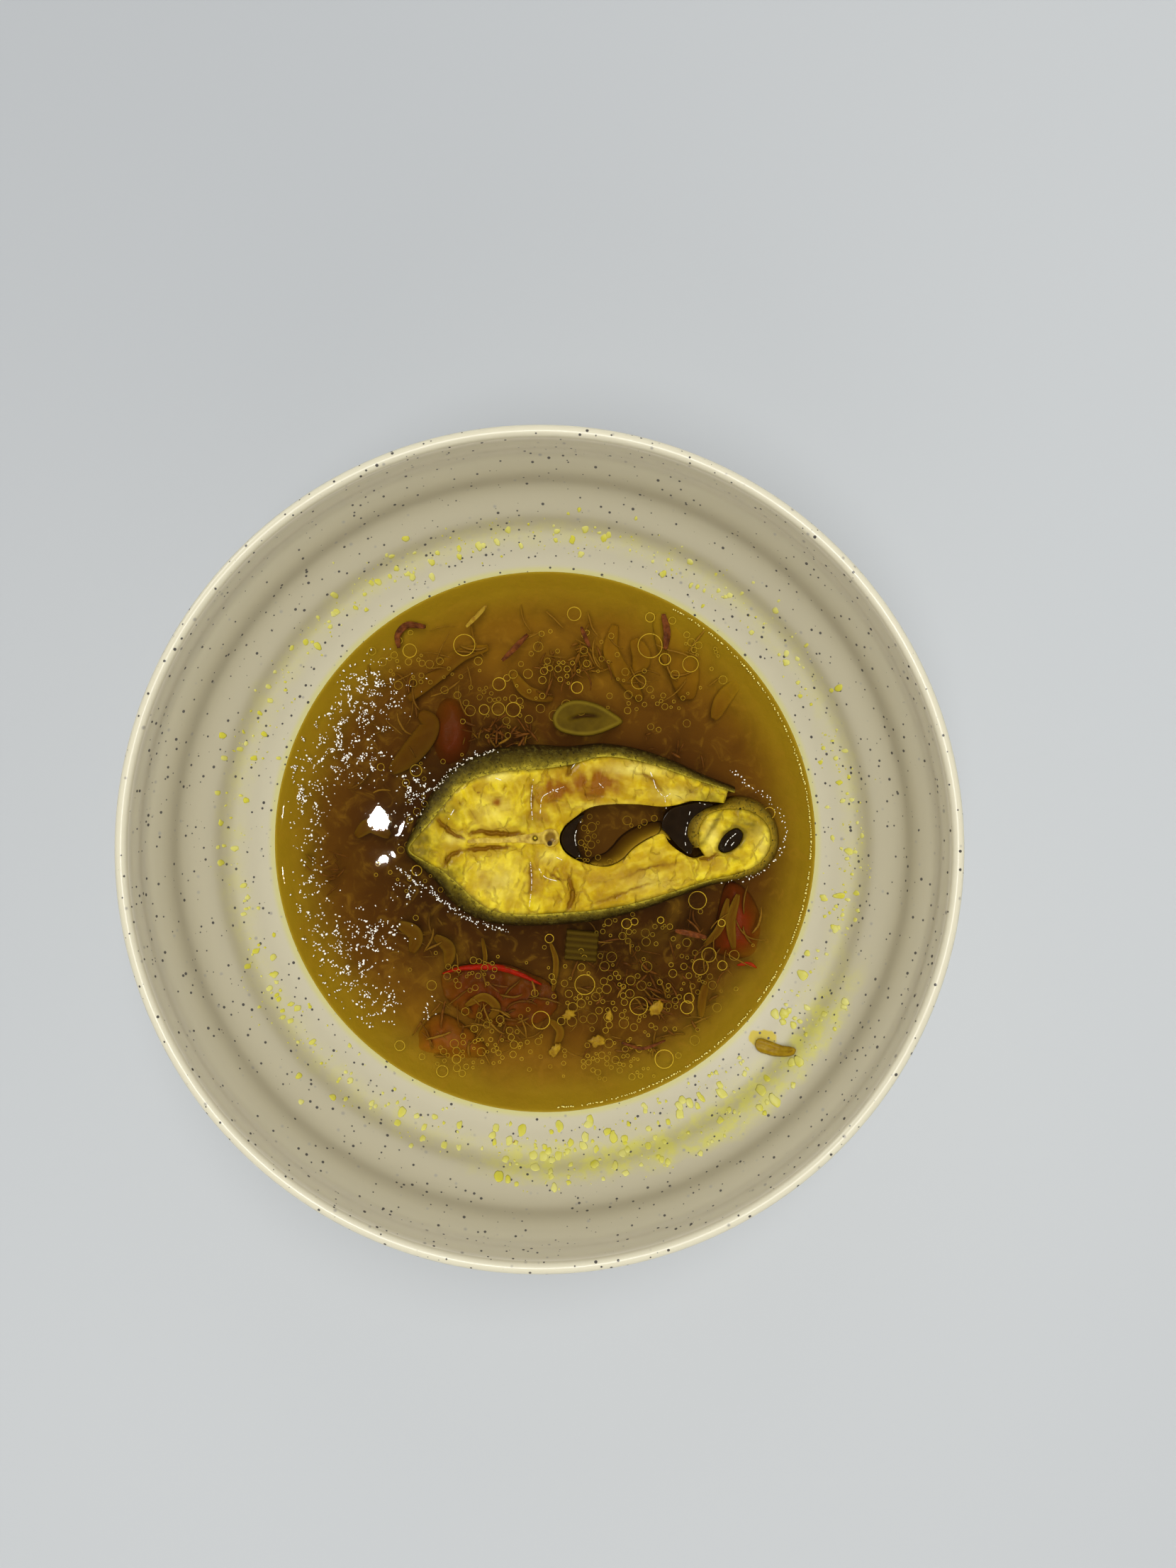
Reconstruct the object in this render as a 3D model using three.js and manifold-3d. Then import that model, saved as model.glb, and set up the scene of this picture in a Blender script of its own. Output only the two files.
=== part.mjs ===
// A bowl of sour fish soup: a ribbed, speckled bowl with a fish steak lying in yellow-brown broth,
// a garlic slice and a leek square at the surface, and a herb sliver stuck to the wall.
// Millimetres, +Z up. The origin is the centre of the flat foot, +X points along the steak to its belly.
import * as THREE from "three";
import { mergeVertices } from "three/addons/utils/BufferGeometryUtils.js";
import Module from "manifold-3d";

const wasm = await Module();
wasm.setup();

// ---- Driving dimensions -------------------------------------------------------------------------

const RIM_RADIUS = 100; // outside of the lip
const HEIGHT = 68; // foot to lip
const LIP_WIDTH = 3.0; // the wall at the lip
const INNER_DEPTH = 59.5; // lip to the middle of the floor
const WALL_FULLNESS = 1.7; // 2 would be an ellipse, less is a wall that leans in sooner
const FLOOR_THICKNESS = 4.2;
const FOOT_RADIUS = 40;
const FOOT_HEIGHT = 8.6; // where the foot meets the wall
const FOOT_FILLET = 5;
const FOOT_WIDTH = 4.5;
const FOOT_EDGE = 0.7;
const FOOT_RECESS = 3.2;
const RIB_PITCH = 10.3; // down the wall, between two ribs
const RIB_SWELL = 0.5;
const FIRST_RIB = 6.5; // depth of the first steep band
const RIBS_END = 34.5; // depth where the ribs have died out
const LATHE_SEGMENTS = 56;
const FLOOR_STEPS = 7;

const GAP = 0.32; // between neighbouring solids
const FLOOR_GAP = 0.5; // between the bowl and what lies in it
const BROTH_LEVEL = HEIGHT - 37.5;
const MENISCUS_RISE = 0.6;
const MENISCUS_WIDTH = 1.6;

const FISH_TOP = BROTH_LEVEL + 2.4;
const FISH_BOTTOM = 13;
const RELIEF_CELL = 2.9;

const MOUTH_RADIUS = RIM_RADIUS - LIP_WIDTH;
const LIP_RADIUS = LIP_WIDTH / 2;

const SHORTEST_EDGE = 0.02; // what a cut may leave before it is tidied away
const THINNEST_FACE = 0.004;

// ---- Solids: from three.js geometry to booleans and back ------------------------------------------

function solidOf(geometry) {
  const bare = geometry.index ? geometry.toNonIndexed() : geometry.clone();
  bare.deleteAttribute("normal");
  bare.deleteAttribute("uv");
  const merged = mergeVertices(bare, 1e-4);
  return new wasm.Manifold(
    new wasm.Mesh({
      numProp: 3,
      vertProperties: new Float32Array(merged.attributes.position.array),
      triVerts: new Uint32Array(merged.index.array),
    }),
  );
}

function geometryOf(solid) {
  const mesh = solid.getMesh();
  const positions = new Float32Array(mesh.numVert * 3);
  for (let i = 0; i < mesh.numVert; i++) {
    const start = i * mesh.numProp;
    positions.set(mesh.vertProperties.subarray(start, start + 3), i * 3);
  }
  const geometry = new THREE.BufferGeometry();
  geometry.setAttribute("position", new THREE.BufferAttribute(positions, 3));
  geometry.setIndex(withoutSlivers(geometry.attributes.position, mesh.triVerts));
  geometry.computeVertexNormals();
  return geometry;
}

// Cuts leave slivers. In a few rounds, this joins the ends of each edge that is too short, and turns
// the long side of each face that is too thin across the face beyond it.
function withoutSlivers(position, indices) {
  const point = (v) => new THREE.Vector3().fromBufferAttribute(position, v);
  const area = (a, b, c) => new THREE.Triangle(point(a), point(b), point(c)).getArea();
  const length = (a, b) => point(a).distanceTo(point(b));
  const height = (a, b, c) => (2 * area(a, b, c)) / Math.max(length(a, b), length(b, c), length(c, a));
  let faces = [];
  for (let i = 0; i < indices.length; i += 3) faces.push([...indices.slice(i, i + 3)]);
  for (let round = 0, changed = true; changed && round < 12; round++) {
    changed = false;
    const beyond = new Map();
    const around = new Map();
    faces.forEach((face) =>
      face.forEach((a, k) => {
        const b = face[(k + 1) % 3];
        beyond.set(`${a},${b}`, face);
        if (!around.has(a)) around.set(a, new Map());
        around.get(a).set(b, face);
      }),
    );
    const settled = new Set();
    const free = (...some) => some.every((face) => !settled.has(face));
    for (const face of faces) {
      if (!free(face)) continue;
      const turns = [0, 1, 2].map((k) => [face[k], face[(k + 1) % 3], face[(k + 2) % 3]]);
      turns.sort((p, q) => length(p[0], p[1]) - length(q[0], q[1]));
      const [kept, gone] = turns[0];
      const [a, b, c] = turns[2];
      if (length(kept, gone) < SHORTEST_EDGE) {
        const ring = [...around.get(kept).values(), ...around.get(gone).values()];
        const shared = [...around.get(kept).keys()].filter((v) => around.get(gone).has(v));
        if (shared.length !== 2 || !free(...ring)) continue;
        for (const one of ring) {
          settled.add(one);
          if (one.includes(gone)) one[one.indexOf(gone)] = kept;
        }
        changed = true;
      } else if (height(a, b, c) < THINNEST_FACE) {
        const other = beyond.get(`${b},${a}`);
        const d = other.find((v) => v !== a && v !== b);
        const better = Math.min(height(a, d, c), height(d, b, c)) > height(a, b, c);
        if (!free(other) || around.get(c).has(d) || !better) continue;
        face.splice(0, 3, a, d, c);
        other.splice(0, 3, d, b, c);
        settled.add(face).add(other);
        changed = true;
      }
    }
    faces = faces.filter((face) => new Set(face).size === 3);
  }
  return faces.flat();
}

// Joins sections, closed loops of the same number of points, into one closed solid. The loops turn
// counter-clockwise seen from beyond the last section, and capFaces triangulates one of them.
function loft(sections, capFaces) {
  const count = sections[0].length;
  const positions = sections.flat().flatMap((p) => [p.x, p.y, p.z]);
  const faces = [];
  for (let s = 0; s + 1 < sections.length; s++)
    for (let i = 0; i < count; i++) {
      const a = s * count + i;
      const b = s * count + ((i + 1) % count);
      faces.push(a, b, b + count, a, b + count, a + count);
    }
  const last = (sections.length - 1) * count;
  for (const [a, b, c] of capFaces(sections[0])) faces.push(a, c, b);
  for (const [a, b, c] of capFaces(sections[sections.length - 1]))
    faces.push(last + a, last + b, last + c);
  const geometry = new THREE.BufferGeometry();
  geometry.setAttribute("position", new THREE.Float32BufferAttribute(positions, 3));
  geometry.setIndex(faces);
  return solidOf(geometry);
}

const fanCap = (loop) => loop.slice(2).map((_, i) => [0, i + 1, i + 2]);
const flatCap = (loop) =>
  THREE.ShapeUtils.triangulateShape(
    loop.map((p) => new THREE.Vector2(p.x, p.y)),
    [],
  );

// A closed outline in plan, drawn up from the height low to the height high.
function prism(outline, low, high) {
  const loop = THREE.ShapeUtils.isClockWise(outline) ? outline.slice().reverse() : outline;
  const ring = (z) => loop.map((p) => new THREE.Vector3(p.x, p.y, z));
  return loft([ring(low), ring(high)], flatCap);
}

// A sloped, tapering blade: it follows the points [x, y] with the height z, width and thickness.
function blade(points, z, width, thickness, steps = 6) {
  const curve = curveThrough(points);
  const sections = [];
  for (let i = 0; i <= steps; i++) {
    const t = i / steps;
    const at = curve.getPoint(t);
    const along = curve.getTangent(t);
    const side = new THREE.Vector3(-along.y, along.x, 0);
    const half = (width / 2) * (0.35 + 0.65 * Math.sin(Math.PI * t));
    const rise = thickness / 2;
    const corner = (u, v) => at.clone().addScaledVector(side, u * half).setZ(z + v * rise);
    sections.push([corner(0, -1), corner(1, 0), corner(0, 1), corner(-1, 0)]);
  }
  return loft(sections, fanCap);
}

// A V-shaped cutter for a crease in a surface at the height top, shallow at both ends.
function crease(points, top, width, depth, steps = 6) {
  const curve = curveThrough(points);
  const sections = [];
  const above = 2;
  for (let i = 0; i <= steps; i++) {
    const t = i / steps;
    const at = curve.getPoint(t);
    const along = curve.getTangent(t);
    const side = new THREE.Vector3(-along.y, along.x, 0);
    const fade = 0.25 + 0.75 * Math.sin(Math.PI * t);
    const spread = (fade * width * (depth + above)) / depth / 2;
    const left = at.clone().addScaledVector(side, spread).setZ(top + above);
    const right = at.clone().addScaledVector(side, -spread).setZ(top + above);
    const bottom = at.clone().setZ(top - depth * fade);
    sections.push([right, bottom, left]);
  }
  return loft(sections, fanCap);
}

// A block on a grid of cells whose top is the height function, open to any relief.
function reliefBlock(box, cell, low, heightAt) {
  const columns = Math.ceil((box.max.x - box.min.x) / cell);
  const rows = Math.ceil((box.max.y - box.min.y) / cell);
  const positions = [];
  const faces = [];
  const add = (x, y, z) => positions.push(x, y, z) / 3 - 1;
  const grid = [];
  for (let j = 0; j <= rows; j++)
    for (let i = 0; i <= columns; i++) {
      const x = box.min.x + (i / columns) * (box.max.x - box.min.x);
      const y = box.min.y + (j / rows) * (box.max.y - box.min.y);
      grid.push(add(x, y, heightAt(x, y)));
    }
  const at = (i, j) => grid[j * (columns + 1) + i];
  for (let j = 0; j < rows; j++)
    for (let i = 0; i < columns; i++)
      faces.push(at(i, j), at(i + 1, j), at(i + 1, j + 1), at(i, j), at(i + 1, j + 1), at(i, j + 1));
  const border = [];
  for (let i = 0; i < columns; i++) border.push(at(i, 0));
  for (let j = 0; j < rows; j++) border.push(at(columns, j));
  for (let i = columns; i > 0; i--) border.push(at(i, rows));
  for (let j = rows; j > 0; j--) border.push(at(0, j));
  const lower = border.map((v) => add(positions[v * 3], positions[v * 3 + 1], low));
  const middle = add((box.min.x + box.max.x) / 2, (box.min.y + box.max.y) / 2, low);
  border.forEach((a, k) => {
    const next = (k + 1) % border.length;
    faces.push(a, lower[k], lower[next], a, lower[next], border[next]);
    faces.push(middle, lower[next], lower[k]);
  });
  const geometry = new THREE.BufferGeometry();
  geometry.setAttribute("position", new THREE.Float32BufferAttribute(positions, 3));
  geometry.setIndex(faces);
  return solidOf(geometry);
}

// ---- Curves in plan ---------------------------------------------------------------------------------

// The third number of a point, where it has one, is carried along the curve in z.
const curveThrough = (points, closed = false) =>
  new THREE.CatmullRomCurve3(
    points.map(([x, y, extra = 0]) => new THREE.Vector3(x, y, extra)),
    closed,
    "centripetal",
  );

const pathThrough = (points, steps, closed = false) => {
  const path = curveThrough(points, closed).getSpacedPoints(steps);
  return closed ? path.slice(0, -1) : path;
};

// Directions pointing right of the way a path runs, eased over a few neighbours.
function sideways(path, reach = 2) {
  return path.map((_, i) => {
    const before = path[Math.max(0, i - reach)];
    const after = path[Math.min(path.length - 1, i + reach)];
    return new THREE.Vector3(after.y - before.y, before.x - after.x, 0).normalize();
  });
}

function distanceTo(outline, x, y) {
  let nearest = Infinity;
  outline.forEach((a, i) => {
    const b = outline[(i + 1) % outline.length];
    const dx = b.x - a.x;
    const dy = b.y - a.y;
    const along = ((x - a.x) * dx + (y - a.y) * dy) / (dx * dx + dy * dy);
    const t = THREE.MathUtils.clamp(along, 0, 1);
    nearest = Math.min(nearest, Math.hypot(x - a.x - t * dx, y - a.y - t * dy));
  });
  return nearest;
}

const swell = (x, y, [cx, cy, rx, ry, height]) =>
  height * Math.exp(-(((x - cx) / rx) ** 2) - ((y - cy) / ry) ** 2);

// ---- Bowl ---------------------------------------------------------------------------------------------

// The inside of the wall: a full, leaning curve that carries three soft ribs.
function innerRadius(depth) {
  const curve = MOUTH_RADIUS * Math.sqrt(Math.max(0, 1 - (depth / INNER_DEPTH) ** WALL_FULLNESS));
  const near = THREE.MathUtils.smoothstep(depth, 1, FIRST_RIB);
  const far = 1 - THREE.MathUtils.smoothstep(depth, RIBS_END - RIB_PITCH / 2, RIBS_END);
  const turn = ((depth - FIRST_RIB) / RIB_PITCH) * 2 * Math.PI;
  return curve + RIB_SWELL * near * far * Math.sin(turn);
}

// Depths that meet each rib at its crest, its hollow and between the two.
const wallDepths = () => {
  const depths = [LIP_RADIUS];
  for (let d = FIRST_RIB - RIB_PITCH / 4; d < RIBS_END; d += RIB_PITCH / 4) depths.push(d);
  return depths;
};

const floorDepths = (steps) => {
  const start = Math.asin((RIBS_END / INNER_DEPTH) ** (WALL_FULLNESS / 2));
  return Array.from({ length: steps + 1 }, (_, i) => {
    const angle = start + ((Math.PI / 2 - start) * (i + 0.6)) / (steps + 0.6);
    return INNER_DEPTH * Math.sin(angle) ** (2 / WALL_FULLNESS);
  });
};

const innerProfile = (depths) =>
  depths.map((d) => new THREE.Vector2(innerRadius(d), HEIGHT - d));

// The inside surface, moved off the wall by clear, from the axis out to the depth top.
function insideProfile(clear, top) {
  const depths = floorDepths(FLOOR_STEPS).filter((d) => d > top + 1);
  const points = innerProfile([top, ...depths]).reverse();
  return points.map((p, i) => {
    const before = points[Math.max(0, i - 1)];
    const after = points[Math.min(points.length - 1, i + 1)];
    const slope = new THREE.Vector2(before.y - after.y, after.x - before.x).normalize();
    return i === 0
      ? new THREE.Vector2(0, p.y + clear)
      : new THREE.Vector2(p.x + slope.x * clear, p.y + slope.y * clear);
  });
}

// Turns a profile of radius and height round the bowl's axis.
const turned = (profile) =>
  solidOf(new THREE.LatheGeometry(profile, LATHE_SEGMENTS).rotateX(Math.PI / 2));

function bowl() {
  const wall = wallDepths();
  const floor = floorDepths(FLOOR_STEPS);
  const inside = innerProfile([...wall, ...floor]);
  const overFoot = floor.filter((d) => innerRadius(d) > FOOT_RADIUS + FOOT_FILLET);
  const outside = [...wall, ...overFoot].map((d) => {
    const thickness = LIP_WIDTH + (FLOOR_THICKNESS - LIP_WIDTH) * (d / INNER_DEPTH);
    const slope = innerRadius(d - 1) - innerRadius(d + 1);
    const out = new THREE.Vector2(2, -slope).normalize();
    return new THREE.Vector2(innerRadius(d), HEIGHT - d).addScaledVector(out, thickness);
  });
  outside[0].set(RIM_RADIUS, HEIGHT - LIP_RADIUS);
  const foot = [
    new THREE.Vector2(FOOT_RADIUS + 1.4, FOOT_HEIGHT),
    new THREE.Vector2(FOOT_RADIUS + 0.2, FOOT_HEIGHT - 2.4),
    new THREE.Vector2(FOOT_RADIUS, FOOT_EDGE),
    new THREE.Vector2(FOOT_RADIUS - FOOT_EDGE, 0),
    new THREE.Vector2(FOOT_RADIUS - FOOT_WIDTH, 0),
    new THREE.Vector2(FOOT_RADIUS - FOOT_WIDTH - 1.2, FOOT_RECESS),
    new THREE.Vector2(0, FOOT_RECESS + 0.6),
  ];
  const lip = [1, 2, 3].map((i) => {
    const angle = (Math.PI * i) / 4;
    const middle = RIM_RADIUS - LIP_RADIUS;
    return new THREE.Vector2(
      middle + LIP_RADIUS * Math.cos(angle),
      HEIGHT - LIP_RADIUS + LIP_RADIUS * Math.sin(angle),
    );
  });
  const profile = [
    ...foot.reverse(),
    ...outside.reverse(),
    ...lip,
    ...inside,
  ];
  profile[profile.length - 1].set(0, HEIGHT - INNER_DEPTH);
  return turned(profile);
}

// The room inside the bowl, clear of its floor, that bounds whatever lies in it.
function room() {
  const top = 20;
  const profile = insideProfile(FLOOR_GAP, top);
  profile.push(new THREE.Vector2(0, HEIGHT - top));
  return turned(profile);
}

// ---- Fish steak: outlines -------------------------------------------------------------------------------

// The flesh under the skin, from the upper arm's cut end round the back to the belly flap's curl.
// Each point is x, y and the width of the skin there, measured at the level of the broth.
const BACK = [
  [50.2, 13.2, 1.0], [41.4, 16.1, 1.5], [33.9, 18.8, 2.2], [24.6, 21.6, 2.6], [15.2, 22.7, 3.0],
  [6.6, 20.6, 4.4], [-1.5, 19.4, 6.0], [-9.5, 18.9, 6.0], [-16.5, 17.5, 5.4], [-22.0, 15.0, 4.8],
  [-26.2, 10.6, 4.4], [-30.4, 5.3, 3.4], [-34.4, 0.8, 1.6],
  [-36.0, -2.0, 1.0],
  [-32.3, -4.8, 1.8], [-27.2, -7.6, 3.2], [-22.6, -11.4, 4.4], [-18.4, -15.4, 4.2],
  [-13.5, -18.2, 3.2], [-5.5, -19.2, 2.8], [5.9, -18.7, 2.8], [15.2, -17.9, 2.4],
  [24.6, -16.0, 2.0], [33.9, -13.2, 1.5], [43.3, -10.2, 1.2], [51.7, -8.2, 1.5],
  [56.8, -5.6, 2.0], [59.6, -1.8, 2.0], [59.8, 2.6, 2.0], [57.9, 6.0, 2.4], [54.4, 8.3, 2.8],
  [50.4, 8.9, 2.5], [46.1, 8.6, 0.7], [43.0, 7.3, 1.4], [41.2, 4.8, 2.4], [40.5, 1.6, 2.5],
  [40.8, -1.4, 1.4],
];

// The rest of the flesh's edge, from the curl along the lower arm, round the belly and out the upper arm.
const BELLY = [
  [42.4, -3.6], [39.4, -4.3], [35.8, -2.6], [32.8, -0.1], [31.4, 2.2], [27.2, 0.6],
  [23.3, -2.0], [20.5, -4.8], [16.7, -6.5], [11.9, -6.0], [8.1, -4.7], [5.0, -2.4], [3.8, 0.8],
  [4.9, 3.8], [8.0, 6.6], [11.9, 9.1], [17.1, 10.0], [24.6, 10.0], [31.4, 9.4], [35.0, 9.9],
  [39.0, 10.9], [43.6, 10.7], [48.6, 10.2],
];

const BACK_STEPS = 76;
const BELLY_STEPS = 42;
const backPath = pathThrough(BACK, BACK_STEPS);
const backSides = sideways(backPath);
const bellyPath = pathThrough(BELLY, BELLY_STEPS);
const fleshOutline = [...backPath, ...bellyPath].map((p) => new THREE.Vector2(p.x, p.y));

// The dark oval pit inside the curl.
const PIT = [[51.0, 3.7], [52.6, 2.2], [52.0, -0.2], [49.9, -2.2], [47.4, -2.9], [45.9, -1.8],
  [46.8, 0.9], [48.8, 2.9]];

// ---- Fish steak: flesh ------------------------------------------------------------------------------------

// Swellings and hollows of the cut face: x, y, two radii and a height.
const FLESH_SWELLS = [
  [-14, 10, 9, 7, 0.8], [-12, -10.5, 9, 7, 0.9], [32, 14.5, 12, 3, 0.5], [20, -12.5, 16, 4, 0.5],
  [57, -1, 3, 6, 0.5], [43.5, 1, 2.5, 5, 0.4], [2.3, 13.7, 4.5, 3.5, -0.8],
  [14.5, 15, 4, 3.5, -0.6], [6, -6.5, 5, 2.5, -0.5], [-31, -1.5, 5, 4, -0.9],
];
const FLESH_EDGE = 2.6; // how far in the cut face rounds off
const FLESH_EDGE_DROP = 1.1;

function fleshTop(x, y) {
  const edge = THREE.MathUtils.clamp(1 - distanceTo(fleshOutline, x, y) / FLESH_EDGE, 0, 1);
  const step = 0.45 * THREE.MathUtils.smoothstep(x, -4.2, -2.6);
  const relief = FLESH_SWELLS.reduce((sum, one) => sum + swell(x, y, one), 0);
  return FISH_TOP + relief - step - FLESH_EDGE_DROP * edge * edge;
}

// Seams between the muscle blocks, each a line in plan with a width and a depth.
const FLESH_SEAMS = [
  { line: [[-29.2, 6.6], [-25.9, 3.4], [-23.1, 1.6], [-20.9, 0.9]], width: 1.0, depth: 1.6 },
  { line: [[-26.6, -6.6], [-25.6, -4.2], [-23.5, -2.8], [-21.4, -1.9]], width: 1.0, depth: 1.5 },
  { line: [[-20.6, 1.9], [-17.7, 2.9], [-14.7, 2.4], [-10.6, 2.2], [-5.2, 2.4]], width: 1.2, depth: 1.7 },
  { line: [[-22.2, -1.8], [-19.4, -2.0], [-16.6, -1.7], [-12.8, -1.3], [-8.0, -1.3]], width: 1.1, depth: 1.5 },
  { line: [[-3.6, 17.2], [-3.4, 12.8], [-3.4, 9.0], [-4.3, 5.2]], width: 0.8, depth: 0.8 },
  { line: [[-4.2, -3.4], [-3.7, -7.0], [-3.7, -11.5], [-4.6, -16.4]], width: 0.8, depth: 0.8 },
  { line: [[6.0, -8.6], [7.2, -12.5], [7.0, -15.7], [5.4, -18.9]], width: 1.1, depth: 1.5 },
  { line: [[9.6, -17.6], [17.1, -14.9], [24.6, -11.9], [32.6, -9.4]], width: 0.9, depth: 0.7 },
  { line: [[19.0, -10.2], [25.0, -7.6], [31.0, -6.0], [37.0, -5.4]], width: 0.9, depth: 0.7 },
  { line: [[0.3, -7.4], [4.0, -9.9], [7.4, -9.4]], width: 0.8, depth: 0.8 },
  { line: [[22.0, 19.0], [28.4, 16.8], [31.9, 12.0]], width: 0.9, depth: 0.8 },
  { line: [[40.2, -4.4], [43.3, -4.3], [46.2, -3.1]], width: 0.8, depth: 1.3 },
  { line: [[6.6, 22.0], [6.6, 19.6], [5.8, 17.6]], width: 1.2, depth: 1.6 },
];

function fishFlesh(skinAndGap, backboneAndGap, inside) {
  const box = new THREE.Box2().setFromPoints(fleshOutline).expandByScalar(1);
  const pit = prism(pathThrough(PIT, 20, true), FISH_BOTTOM - 1, FISH_TOP + 5);
  let flesh = prism(fleshOutline, FISH_BOTTOM, FISH_TOP + 4)
    .intersect(reliefBlock(box, RELIEF_CELL, FISH_BOTTOM - 1, fleshTop))
    .subtract(pit)
    .subtract(skinAndGap)
    .subtract(backboneAndGap)
    .intersect(inside);
  for (const seam of FLESH_SEAMS) {
    const [x, y] = seam.line[Math.floor(seam.line.length / 2)];
    flesh = flesh.subtract(crease(seam.line, fleshTop(x, y), seam.width, seam.depth));
  }
  return flesh;
}

// ---- Fish steak: skin, backbone and black lining ------------------------------------------------------------

const SKIN_START = 0.002;
const SKIN_TOP_DROP = 0.5;

// The skin slopes out from the cut face to the broth and on down, as the body does. It is grown by
// extra where its neighbours are cut to clear it.
function fishSkin(extra = 0) {
  const inner = extra > 0 ? SKIN_START : GAP;
  const last = backPath.length - 1;
  const sections = backPath.map((at, i) => {
    const width = at.z + extra;
    const side = backSides[i];
    const beyond = extra * ((i === last) - (i === 0)) * 1.3;
    const point = (out, z) =>
      new THREE.Vector3(at.x - side.y * beyond, at.y + side.x * beyond, 0)
        .addScaledVector(side, out)
        .setZ(z);
    return [
      point(inner, FISH_BOTTOM - extra),
      point(inner, FISH_TOP - SKIN_TOP_DROP + extra * 4),
      point(GAP + width * 0.3, FISH_TOP - SKIN_TOP_DROP - 0.3 + extra * 4),
      point(GAP + width, BROTH_LEVEL - 0.4),
      point(GAP + width + 0.7, FISH_BOTTOM - extra),
    ];
  });
  return loft(sections, fanCap);
}

const VERTEBRA = { x: 1.4, y: 1.2, radius: 2.4, dish: 1.1 };
const NEURAL_HOLE = { x: -2.6, y: 1.0, radius: 0.85, depth: 3 };
const SPINE = [[-20.6, 0.2], [-16.5, 0.5], [-12.4, 0.4], [-8.0, 0.7], [-3.0, 1.0], [0.4, 1.2]];
const SPINE_WIDTHS = [0.5, 0.8, 0.7, 0.9, 1.5, 1.5]; // half widths

// The spine plate and the vertebra's ring, running through the steak.
function fishBackbone(extra = 0) {
  const curve = curveThrough(SPINE.map(([x, y], i) => [x, y, SPINE_WIDTHS[i]]));
  const path = curve.getSpacedPoints(16);
  const sides = sideways(path, 1);
  const edge = (sign) =>
    path.map((p, i) => {
      const at = p.clone().addScaledVector(sides[i], sign * (p.z + extra));
      return new THREE.Vector2(at.x, at.y);
    });
  const low = FISH_BOTTOM - extra;
  const plateOutline = [...edge(1), ...edge(-1).reverse()];
  plateOutline.unshift(new THREE.Vector2(SPINE[0][0] - 0.8 - extra, SPINE[0][1]));
  const plate = prism(plateOutline, low, FISH_TOP - 0.5 + extra * 12);
  const round = [];
  for (let i = 0; i < 20; i++) {
    const angle = (i / 20) * 2 * Math.PI;
    const radius = VERTEBRA.radius + extra;
    round.push(
      new THREE.Vector2(VERTEBRA.x + radius * Math.cos(angle), VERTEBRA.y + radius * Math.sin(angle)),
    );
  }
  const body = plate.add(prism(round, low, FISH_TOP - 0.2 + extra * 12));
  if (extra > 0) return body;
  const dish = new THREE.SphereGeometry(VERTEBRA.dish * 1.6, 16, 10);
  dish.translate(VERTEBRA.x, VERTEBRA.y, FISH_TOP + 0.6);
  const hole = new THREE.CylinderGeometry(NEURAL_HOLE.radius, 0.5, NEURAL_HOLE.depth, 12);
  hole.rotateX(Math.PI / 2);
  hole.translate(NEURAL_HOLE.x, NEURAL_HOLE.y, FISH_TOP - 0.4);
  return body.subtract(solidOf(dish)).subtract(solidOf(hole));
}

// A black sheet of lining seen from its edge side: an outline whose top sinks to a shallow dish.
function lining(outline, rim, dish) {
  const centre = outline.reduce((sum, p) => sum.add(p), new THREE.Vector2());
  centre.divideScalar(outline.length);
  const reach = Math.max(...outline.map((p) => p.distanceTo(centre)));
  const box = new THREE.Box2().setFromPoints(outline).expandByScalar(1);
  const top = (x, y) => {
    const out = Math.min(1, Math.hypot(x - centre.x, y - centre.y) / reach);
    return rim - dish * (1 - out * out);
  };
  const block = reliefBlock(box, 1.6, FISH_BOTTOM - 1, top);
  return prism(outline, FISH_BOTTOM, rim + 2).intersect(block);
}

const flat = (path) => path.map((p) => new THREE.Vector2(p.x, p.y));

// The lining on the backbone side of the belly, a crescent between the flesh and the broth.
const LINING_BACK = [[9.6, 7.0], [7.9, 6.0], [5.3, 3.6], [4.25, 0.8], [5.4, -2.1], [8.2, -4.2]];
const LINING_FRONT = [[9.6, -4.2], [8.6, -1.4], [8.0, 1.9], [8.7, 4.7], [10.4, 7.2]];
const liningCrescent = () =>
  flat([...pathThrough(LINING_BACK, 14), ...pathThrough(LINING_FRONT, 12)]);

// The lining that hangs between the two arms in front of the curl.
const LINING_FLAP = [[33.7, 8.8], [31.5, 6.2], [31.2, 3.6], [33.1, 1.5], [35.8, -1.5], [38.6, -3.2],
  [39.6, 0.6], [40.2, 5.0], [42.0, 8.4], [44.6, 9.9], [40.8, 10.4], [37.2, 9.8]];

// ---- Broth -------------------------------------------------------------------------------------------------

// The steak's whole outline at three levels, filled in and clear of the skin by GAP.
function steakRoom() {
  const lastOutside = backPath.findIndex((p, i) => i > BACK_STEPS / 2 && p.x < 51.4 && p.y > 8);
  const stations = backPath.slice(0, lastOutside);
  const ring = (spread, z) =>
    stations.map((at, i) =>
      new THREE.Vector3(at.x, at.y, 0)
        .addScaledVector(backSides[i], 2 * GAP + at.z + spread)
        .setZ(z),
    );
  const low = FISH_BOTTOM - GAP;
  return loft([ring(0.7, low), ring(0, BROTH_LEVEL - 0.4), ring(-0.1, FISH_TOP + 5)], flatCap);
}

// The broth inside the belly, between the arms, the crescent and the hanging lining.
const BELLY_BROTH = [[30.6, 8.6], [24.6, 9.5], [17.1, 9.5], [12.6, 8.6], [10.0, 5.8], [8.8, 2.8],
  [8.9, -0.6], [9.8, -3.4], [11.4, -5.2], [16.5, -5.9], [20.2, -4.2], [23.2, -1.2], [27.0, 1.3],
  [29.9, 2.7], [30.6, 5.6]];

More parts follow.
